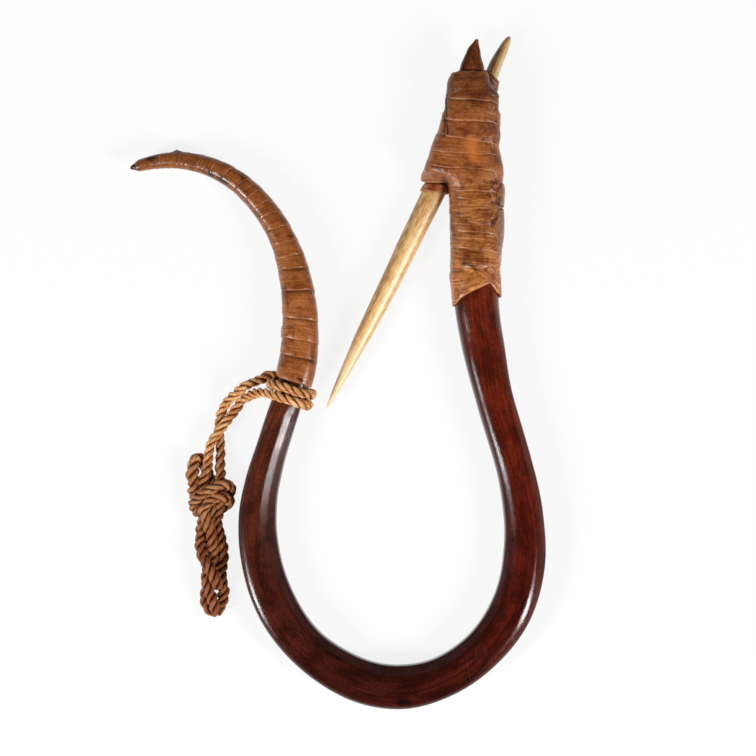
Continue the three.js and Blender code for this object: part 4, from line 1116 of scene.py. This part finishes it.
# painted shade: the folded end's colour is scaled down by 0.72
folded_end = strip_piece("bark_folded_end", "folded_strip_end", flap(
    np.linspace(-0.09, 0.17, 60),
    [(-0.09, 461.0), (0.03, 462.0), (0.08, 466.0), (0.13, 471.5), (0.17, 474.5)],
    [(-0.09, 481.5), (0.06, 482.0), (0.11, 481.2), (0.17, 476.0)], 13, 0.95, 0.75, 0.95), darker=0.72)
upper_end = strip_piece("bark_upper_end", "upper_strip_end", flap(
    np.linspace(-0.09, 0.13, 60), [(-0.09, 482.5), (0.05, 482.6), (0.13, 484.5)],
    [(-0.09, 491.0), (0.08, 491.2), (0.13, 488.5)], 14, 1.05, 0.35))

# %% Round wood and barb
SLIT = (505, 509.5, 514.75, 519.25, 524), (0.33, 0.335, 0.355, 0.38, 0.45)
SIDE = (516, 518.5, 521, 526.25, 531.75), (-0.1, 0.075, 0.10, 0.185, 0.2)
cheek_edges = [(0, 489.5), (0.2, 490.6), (0.34, 491.8), (0.5, 493.4), (0.75, 493.2), (1.0, 492.9),
               (1.25, 496.9), (1.5, 499.5), (2.0, 500.6), (2.25, 502.5), (2.4, 504.2), (2.9, 504.8)]
cheek_top = [(1.9, 506.4), (2.07, 506.4), (2.33, 510.9), (2.5, 512.2), (2.9, 513.0)]
padding = mound(0.5, 0.13, 497.2, 5.0, 2.7)
right_middle = strip_piece("bark_right_middle", "right_lashing_middle", winding(
    head_core, cheek_edges, cheek_top, 10, shown="low", wrinkle=0.15, ragged=0.25, bulge=padding))


def wood_and_barb(turned, distance):
    """The turns over the wood stand 1 mm higher than those that go on round the barb. The step runs
    along the slit on the left and along a slanting line on the right, with a low groove beside it."""
    share = turned % 1.0
    slit, side = np.interp(distance, *SLIT), np.interp(distance, *SIDE)
    over_wood = smooth_rise(share, side - 0.012, side + 0.004)
    over_wood = over_wood * (1 - smooth_rise(share, slit - 0.004, slit + 0.006))
    over_wood = over_wood + smooth_rise(share, 0.88, 0.98) * (1 - smooth_rise(distance, 516, 519))
    groove = np.exp(-((share - slit - 0.016) / 0.012) ** 2)
    stepped = (1.05 * over_wood - 0.5 - 0.6 * groove) * smooth_rise(distance, 505, 509.5)
    return stepped + padding(turned, distance)


def point_corner(turned, distance):
    """The turns round the wood's point swell by 1.2 mm on the left, the more the higher they lie."""
    return 1.2 * np.exp(-(((turned % 1.0) - 0.5) / 0.12) ** 2) * smooth_rise(distance, 522, 531)


head_edges = [(0, 504.2), (0.07, 504.7), (0.33, 509.2), (0.5, 510.5), (0.75, 511.5), (1.0, 512.6),
              (1.27, 514.8), (1.5, 516.5), (2.0, 518.8), (2.05, 519.2), (2.15, 521.7), (2.45, 524.5),
              (2.75, 525.5), (2.95, 526.0)]
head_top = [(1.95, 522.0), (2.05, 524.5), (2.12, 530.0), (2.2, 532.4), (2.5, 532.8), (2.75, 531.0),
            (2.95, 527.5)]
right_upper = strip_piece("bark_right_upper", "right_lashing_upper", winding(
    head_core, head_edges, head_top, 11, shown="low", wrinkle=0.17, ragged=0.25, finer=(0.32, 0.47),
    bulge=wood_and_barb))
point_turned = np.linspace(0.02, 1.9, 180)
point_wrap = strip_piece("bark_point", "point_lashing", bark_strip(
    wood_core, point_turned, 523.5, 533.2 + 0.25 * np.sin(7 * point_turned), 12, body=1.15, on_core=1.0,
    wrinkle=0.09, ragged=0.25, bulge=point_corner))

# %% Round the barb alone
stub_turned = np.linspace(0, 1.6, 150)
stub_edge = 15.5 - 0.8 * np.cos(TURN * stub_turned)
stub_width = 4.6 + 3.0 * smooth_rise(stub_turned % 1.0, 0.36, 0.44)
stub_band = strip_piece("bark_barb_stub", "barb_stub_band", bark_strip(
    barb_core, stub_turned, stub_edge + stub_width, stub_edge, 15, body=0.6, on_core=1.0, wrinkle=0.03,
    bulge=mound(0.47, 0.1, 21.0, 3.5, 1.0)))
root_turned = np.linspace(0, 1.9, 170)
root_low = 61.4 + 1.7 * np.cos(TURN * root_turned)
# painted light: the root band's colour is raised 1.3 times against the shade that the cheek casts on it
root_band = strip_piece("bark_barb_root", "barb_root_band", bark_strip(
    barb_core, root_turned, root_low, root_low + 3.7, 16, body=0.85, on_core=1.0, wrinkle=0.04), darker=1.3)

# %% [markdown]
# ## Finishes
#
# Colours are written as they look on a screen and turned to linear light by one function. One
# function adds a node with its settings and links, and three short recipes join a few nodes: noise
# stretched along a piece, a colour tinted by a pattern, and a colour changed where a mark is strong.
# Patterns follow the surface map, so that they run along the wood, the strips and the strands.

# %% Colour and node helpers
TIMES = {"operation": "MULTIPLY"}
COVER = {"data_type": "RGBA"}
TINT = {"data_type": "RGBA", "blend_type": "MULTIPLY"}


def linear(code):
    """sRGB hex to linear: c / 12.92 below 0.04045, else ((c + 0.055) / 1.055) ^ 2.4."""
    value = np.array([int(code[k:k + 2], 16) / 255 for k in (1, 3, 5)])
    value = np.where(value <= 0.04045, value / 12.92, ((value + 0.055) / 1.055) ** 2.4)
    return (*value, 1.0)


def add_node(tree, kind, settings=None, output=0, stops=(), **links):
    """Adds one node and gives back one of its outputs. settings are its properties and stops a colour
    ramp's (position, hex) pairs. A link's value is an output or a plain value, and its name is the
    input's, with _ for a space, or i and the input's number."""
    node = tree.nodes.new("ShaderNode" + kind)
    for key, value in (settings or {}).items():
        setattr(node, key, value)
    for key, value in links.items():
        socket = node.inputs[int(key[1:]) if key[1:].isdigit() else key.replace("_", " ")]
        if isinstance(value, bpy.types.NodeSocket):
            tree.links.new(value, socket)
        else:
            socket.default_value = value
    if stops:
        elements = node.color_ramp.elements
        while len(elements) < len(stops):
            elements.new(0.5)
        for element, (position, code) in zip(elements, stops):
            element.position = position
            element.color = linear(code)
    return node.outputs[output] if node.outputs else None


def new_finish(name):
    """An empty material, its node tree, and the surface map's place on it."""
    material = bpy.data.materials.new(name)
    material.use_nodes = True
    tree = material.node_tree
    tree.nodes.clear()
    return material, tree, add_node(tree, "UVMap", {"uv_map": "surface"})


def stretched_noise(tree, place, along, across, detail=4.0, roughness=0.55):
    """Noise whose patches are about along by across millimetres on the surface map."""
    moved = add_node(tree, "Mapping", Vector=place, Scale=(UV_UNIT / along, UV_UNIT / across, 1.0))
    return add_node(tree, "TexNoise", {"noise_dimensions": "2D"}, Vector=moved, Scale=1.0, Detail=detail,
                    Roughness=roughness)


def tinted(tree, colour, share, pattern, *stops):
    """Colour multiplied, in the share given, by the colours that the stops give to a pattern."""
    tint = add_node(tree, "ValToRGB", stops=stops, Fac=pattern)
    return add_node(tree, "Mix", TINT, 2, i0=share, i6=colour, i7=tint)


def marked(tree, colour, mark, strength, code):
    """Colour turned towards a hex colour where the named mark on the points is strong."""
    value = add_node(tree, "Attribute", {"attribute_name": mark}, "Fac")
    share = add_node(tree, "Math", TIMES, i0=value, i1=strength)
    return add_node(tree, "Mix", COVER, 2, i0=share, i6=colour, i7=linear(code))


def wear(finish, *pieces):
    """Puts one finish on pieces."""
    for piece in pieces:
        piece.data.materials.clear()
        piece.data.materials.append(finish)
    print(finish.name, "has", len(finish.node_tree.nodes), "nodes")


print("mid grey #808080 is", round(linear("#808080")[0], 3), "in linear light")

# %% [markdown]
# ## Oiled hard wood
#
# The rod is a dense wood, dark with oil and handling, so it is glossy. Its grain runs along it as
# fine dark vessels a third of a millimetre wide, over slow bands and clouds of red. The pores break
# up the light lines, the arm below the neck is less worn and has a raised grain, and a few slanted
# scuffs cross the lower right of the bend.

# %% Wood finish
WOOD_ALONG = [(0.0, "#3a150e"), (0.25, "#793c24"), (0.38, "#602819"), (0.5, "#4f190f"), (0.64, "#70210f"),
              (0.82, "#843018"), (0.95, "#562210"), (0.985, "#98552f")]
WOOD_PATTERNS = {
    "bands": (0.6, (90, 0.9, 5, 0.7), (0.34, "#98857c"), (0.52, "#e9e2de"), (0.66, "#ffffff")),
    "vessels": (0.5, (14, 0.35, 5, 0.7), (0.38, "#5a4038"), (0.52, "#ffffff")),
    "clouds": (0.8, (13, 5, 4, 0.65), (0.38, "#9c8478"), (0.6, "#ffffff")),
    "flecks": (0.5, (1.1, 0.6, 3, 0.6), (0.4, "#a08c84"), (0.6, "#ffffff")),
}
SCUFF_SLANT = 0.45


def oiled_wood():
    """Colour by the place along the rod, tinted by four patterns, with painted shade on the inner side, dark
    at the knot.
    """
    material, tree, place = new_finish("oiled hardwood, hand rubbed")
    along = add_node(tree, "SeparateXYZ", Vector=place)
    along = add_node(tree, "MapRange", Value=along, From_Min=0.0, From_Max=WOOD_LENGTH / UV_UNIT)
    colour = add_node(tree, "ValToRGB", stops=WOOD_ALONG, Fac=along)
    for share, size, *stops in WOOD_PATTERNS.values():
        colour = tinted(tree, colour, share, stretched_noise(tree, place, *size), *stops)
    # painted shade on the inner side of the rod
    colour = marked(tree, colour, "inner_side", 0.5, "#260b08")
    colour = marked(tree, colour, "knot", 0.95, "#0e0403")
    slanted = add_node(tree, "Mapping", Vector=place, Rotation=(0, 0, SCUFF_SLANT))
    scratches = stretched_noise(tree, slanted, 0.4, 11, 1, 0.4)
    thin = add_node(tree, "ValToRGB", stops=[(0.64, "#000000"), (0.76, "#9c9c9c")], Fac=scratches)
    scuffed = add_node(tree, "Attribute", {"attribute_name": "scuffed"}, "Fac")
    share = add_node(tree, "Math", TIMES, i0=thin, i1=scuffed)
    colour = add_node(tree, "Mix", COVER, 2, i0=share, i6=colour, i7=linear("#8a5844"))
    pores = stretched_noise(tree, place, 2.6, 0.4, 4, 0.75)
    polish = add_node(tree, "MapRange", Value=pores, From_Min=0.36, From_Max=0.62, To_Min=0.09, To_Max=0.22)
    bump = add_node(tree, "Bump", Height=pores, Strength=0.4, Distance=0.0001)
    speckle = stretched_noise(tree, place, 1.1, 0.4, 3, 0.7)
    raised = add_node(tree, "Attribute", {"attribute_name": "raised"}, "Fac")
    rough = add_node(tree, "Math", TIMES, i0=raised, i1=0.45)
    fine = add_node(tree, "Bump", Height=speckle, Strength=rough, Distance=0.00006, Normal=bump)
    dulled = add_node(tree, "Math", TIMES, i0=raised, i1=0.05)
    polish = add_node(tree, "Math", {"operation": "ADD"}, i0=polish, i1=dulled)
    shader = add_node(tree, "BsdfPrincipled", Base_Color=colour, Roughness=polish, Normal=fine, IOR=1.46)
    add_node(tree, "OutputMaterial", Surface=shader)
    return material


wear(oiled_wood(), shank)

# %% [markdown]
# ## Scraped bone
#
# Bone is pale and dense. Scraping leaves fine lines along it, and its canals show as short dark
# flecks about a tenth of a millimetre wide. They are drawn coarser here so that they show. Old bone
# is brown towards its lashed end and pale at the point. Its left side is browned as painted shade,
# and a painted highlight runs pale along its ridge.

# %% Bone finish
def scraped_bone():
    """Flecked pale bone, turned unevenly towards flecked brown by a mark of brown tone and painted shade."""
    material, tree, place = new_finish("scraped bone")
    flecks = stretched_noise(tree, place, 4, 0.8, 5, 0.72)
    pale, browner = (add_node(tree, "ValToRGB", stops=stops, Fac=flecks) for stops in (
        [(0.3, "#c99456"), (0.5, "#ebbd7e"), (0.7, "#fddca2")], [(0.36, "#7d4c20"), (0.62, "#c08944")]))
    mottle = stretched_noise(tree, place, 5, 1.8, 4, 0.7)
    uneven = add_node(tree, "MapRange", Value=mottle, From_Min=0.35, From_Max=0.58, To_Min=0.35, To_Max=1.0)
    # the brown mark: brown tone near the lashed end, painted shade on the left side
    brown = add_node(tree, "Attribute", {"attribute_name": "brown_and_painted_shade"}, "Fac")
    share = add_node(tree, "Math", TIMES, i0=brown, i1=uneven)
    colour = add_node(tree, "Mix", COVER, 2, i0=share, i6=pale, i7=browner)
    # painted highlight along the ridge and on the stub; the pale point is the bone's own colour
    colour = marked(tree, colour, "ridge_highlight_and_pale_point", 0.7, "#ffedc2")
    # painted shade on the stub and in the gap beside it
    colour = marked(tree, colour, "stains_and_painted_shade", 1.0, "#170a05")
    bump = add_node(tree, "Bump", Height=flecks, Strength=0.3, Distance=0.0001)
    shader = add_node(tree, "BsdfPrincipled", Base_Color=colour, Roughness=0.36, Normal=bump, IOR=1.54)
    add_node(tree, "OutputMaterial", Surface=shader)
    return material


wear(scraped_bone(), barb)

# %% [markdown]
# ## Split bark
#
# The strip is inner bark, brown and a little waxy. Its fibres run along it about half a millimetre
# apart, its colour drifts from turn to turn, the shown edge has a painted highlight, and the groove
# beside it painted shade.
# Rubbing has smoothed the curl, the head is creased, and at the foot the fibres stand up, so one
# recipe is used three times with other creases and fibre colours.

# %% Bark finish
PATCH_SCALE, FLECK_SCALE = 150.0, 800.0


def split_bark(name, creases, *fibre_colours):
    """Fibres tinted by patches and flecks, times the mark shade, painted shade in the groove, painted
    highlight at the edge.
    """
    material, tree, place = new_finish(name)
    fibres = stretched_noise(tree, place, 12, 0.6, 5, 0.65)
    colour = add_node(tree, "ValToRGB", stops=list(zip((0.3, 0.5, 0.7), fibre_colours)), Fac=fibres)
    where = add_node(tree, "TexCoord", {}, "Object")
    patches = add_node(tree, "TexNoise", Vector=where, Scale=PATCH_SCALE, Detail=5.0, Roughness=0.65)
    colour = tinted(tree, colour, 0.8, patches, (0.36, "#96603c"), (0.55, "#ffffff"))
    flecks = add_node(tree, "TexNoise", Vector=where, Scale=FLECK_SCALE, Detail=4.0, Roughness=0.7)
    colour = tinted(tree, colour, 0.5, flecks, (0.32, "#8f5a38"), (0.5, "#ffffff"))
    shade = add_node(tree, "Attribute", {"attribute_name": "shade"}, "Fac")
    colour = add_node(tree, "VectorMath", {"operation": "SCALE"}, Vector=colour, Scale=shade)
    # painted shade: the groove beside the neighbour's edge is made dark
    colour = marked(tree, colour, "groove", 0.5, "#43200f")
    # painted highlight: rubbed is a paler colour painted on the shown edge, in patches, where light catches
    # it
    edge = add_node(tree, "Attribute", {"attribute_name": "edge"}, "Fac")
    rubbed = add_node(tree, "Math", TIMES, i0=edge, i1=patches)
    rubbed = add_node(tree, "Math", TIMES, i0=rubbed, i1=0.7)
    colour = add_node(tree, "Mix", COVER, 2, i0=rubbed, i6=colour, i7=linear("#c68d5c"))
    colour = marked(tree, colour, "worn", 0.75, "#cf7630")
    # painted shade in the slit, in gaps and under a bulge, and a few dark marks
    colour = marked(tree, colour, "stains_and_painted_shade", 0.92, "#180b06")
    polish = add_node(tree, "MapRange", Value=flecks, From_Min=0.35, From_Max=0.65, To_Min=0.15, To_Max=0.34)
    edge_rough = add_node(tree, "Math", TIMES, i0=edge, i1=0.25)
    polish = add_node(tree, "Math", {"operation": "ADD"}, i0=polish, i1=edge_rough)
    bump = add_node(tree, "Bump", Height=fibres, Strength=0.4, Distance=0.00015)
    fine = add_node(tree, "Bump", Height=flecks, Strength=creases, Distance=0.0003, Normal=bump)
    shader = add_node(tree, "BsdfPrincipled", Base_Color=colour, Roughness=polish, Normal=fine, IOR=1.5)
    add_node(tree, "OutputMaterial", Surface=shader)
    return material


wear(split_bark("split bark, rubbed smooth", 0.15, "#8f4e28", "#ab6331", "#bf7b45"),
     tip_whipping, left_upper, left_lower, tab)
wear(split_bark("split bark, creased", 0.75, "#8a4a25", "#ab6331", "#c07c46"),
     right_middle, right_upper, point_wrap, root_band, stub_band)
wear(split_bark("split bark, fibres raised", 0.5, "#7f421d", "#ad672f", "#d89c62"),
     crossing, right_lower, folded_end, upper_end)

# %% [markdown]
# ## Plant fibre cord
#
# Each strand is a bundle of golden fibres with a twist of its own, so fine lines run along it at a
# slant. It is dry and matt, with painted shade in the grooves between the strands, and from the legs
# down the cord is made darker, its grooves most.

# %% Cord finish
FIBRE_GOLD = [(0.3, "#a05d28"), (0.5, "#efb06c"), (0.66, "#ffe6b4")]
CORD_PATCH_SCALE = 170.0


def plant_fibre():
    """Fibre lines tinted by patches, by painted shade in the grooves between the strands, and made darker
    towards the tail, most in the grooves.
    """
    material, tree, place = new_finish("twisted plant fibre")
    lines = stretched_noise(tree, place, 7, 0.3, 4, 0.7)
    colour = add_node(tree, "ValToRGB", stops=FIBRE_GOLD, Fac=lines)
    where = add_node(tree, "TexCoord", {}, "Object")
    patches = add_node(tree, "TexNoise", Vector=where, Scale=CORD_PATCH_SCALE, Detail=4.0, Roughness=0.6)
    crown, soiled = (add_node(tree, "Attribute", {"attribute_name": mark}, "Fac")
                     for mark in ("crown", "soiled"))
    colour = tinted(tree, colour, 0.7, patches, (0.36, "#cf9656"), (0.6, "#ffffff"))
    # painted shade in the grooves between the strands
    colour = tinted(tree, colour, 1.0, crown, (0.0, "#6a3f26"), (0.5, "#d8ab84"), (0.85, "#ffffff"))
    # painted shade: deeper in the grooves from the legs down, with the whole cord darkened there
    colour = tinted(tree, colour, soiled, crown, (0.0, "#3c1c0a"), (0.7, "#9a6a38"))
    bump = add_node(tree, "Bump", Height=lines, Strength=0.9, Distance=0.00025)
    shader = add_node(tree, "BsdfPrincipled", Base_Color=colour, Roughness=0.55, Normal=bump, IOR=1.45)
    add_node(tree, "OutputMaterial", Surface=shader)
    return material


wear(plant_fibre(), leader)

# %% [markdown]
# ## The studio
#
# The photograph has a white ground and a tall soft lamp on each side. The floor runs up into a low
# round wall far away, so that every view has the same pale ground and the wood's tilted faces don't
# reflect it as fog. To the camera and to reflections the floor is mostly a lamp and partly paper:
# it stays white and keeps the hook's shadow, and no more light falls on the hook.

# %% Floor
COVE_RADIUS, COVE_ROUNDING, COVE_HEIGHT = 5.0, 0.8, 1.2
FLOOR_DROP = 0.0002
GLOW_SHARE = 0.87


def paper():
    """White paper, mixed with a glow of strength 1 for camera, glossy and transmission rays."""
    material, tree = new_finish("white paper")[:2]
    sheet = add_node(tree, "BsdfDiffuse", Color=(0.9, 0.9, 0.9, 1.0))
    glow = add_node(tree, "Emission", Color=(1.0, 1.0, 1.0, 1.0), Strength=1.0)
    seen = 0.0
    for ray in ("Is Camera Ray", "Is Glossy Ray", "Is Transmission Ray"):
        is_ray = add_node(tree, "LightPath", {}, ray)
        seen = add_node(tree, "Math", {"operation": "MAXIMUM"}, i0=is_ray, i1=seen)
    share = add_node(tree, "Math", TIMES, i0=seen, i1=GLOW_SHARE)
    add_node(tree, "OutputMaterial", Surface=add_node(tree, "MixShader", i0=share, i1=sheet, i2=glow))
    return material


def cove():
    """A disc, a quarter round and a wall, turned about the upright axis: (r cos a, r sin a, z)."""
    bend = np.linspace(0, math.pi / 2, 16)
    flat = np.linspace(0.001, COVE_RADIUS - COVE_ROUNDING, 12)
    r = np.concatenate([flat, COVE_RADIUS - COVE_ROUNDING + COVE_ROUNDING * np.sin(bend), [COVE_RADIUS]])
    z = np.concatenate([0 * flat, COVE_ROUNDING - COVE_ROUNDING * np.cos(bend), [COVE_HEIGHT]]) - FLOOR_DROP
    angle = around(96)
    r, z = r[:, None], z[:, None]
    points = np.stack(np.broadcast_arrays(r * np.cos(angle), r * np.sin(angle), z), -1)
    rings, sides = points.shape[:2]
    faces = tube_quads(rings, sides)[1]
    mesh = bpy.data.meshes.new("floor")
    mesh.from_pydata(points.reshape(-1, 3).tolist(), [], [*faces.tolist(), list(range(sides))[::-1]])
    mesh.polygons.foreach_set("use_smooth", np.ones(len(mesh.polygons), bool))
    floor = bpy.data.objects.new("floor", mesh)
    scene.collection.objects.link(floor)
    return floor


floor = cove()
wear(paper(), floor)

# %% Lamps and air
LAMP_SIZE = (0.16, 0.5)
LAMP_WATTS = 14.0
LAMP_PLACES = {"left_softbox": (-0.88, -0.5, 0.86), "right_softbox": (0.91, -0.5, 0.86)}
LAMP_AIM = Vector((0.015, 0, 0))
AIR_STRENGTH = 0.06

for name, place in LAMP_PLACES.items():
    data = bpy.data.lights.new(name, "AREA")
    data.shape, data.size, data.size_y, data.energy = "RECTANGLE", *LAMP_SIZE, LAMP_WATTS
    lamp = bpy.data.objects.new(name, data)
    scene.collection.objects.link(lamp)
    lamp.location = place
    lamp.rotation_mode = "QUATERNION"
    lamp.rotation_quaternion = (LAMP_AIM - Vector(place)).to_track_quat("-Z", "Y")
    print(name, "is", round((LAMP_AIM - Vector(place)).length, 2), "m from the hook")
world = bpy.data.worlds.new("studio air")
world.use_nodes = True
air = world.node_tree.nodes["Background"].inputs
air["Color"].default_value = (1.0, 1.0, 1.0, 1.0)
air["Strength"].default_value = AIR_STRENGTH
scene.world = world
scene.view_settings.view_transform = "Standard"

# %% Last update of the scene
bpy.context.view_layer.update()
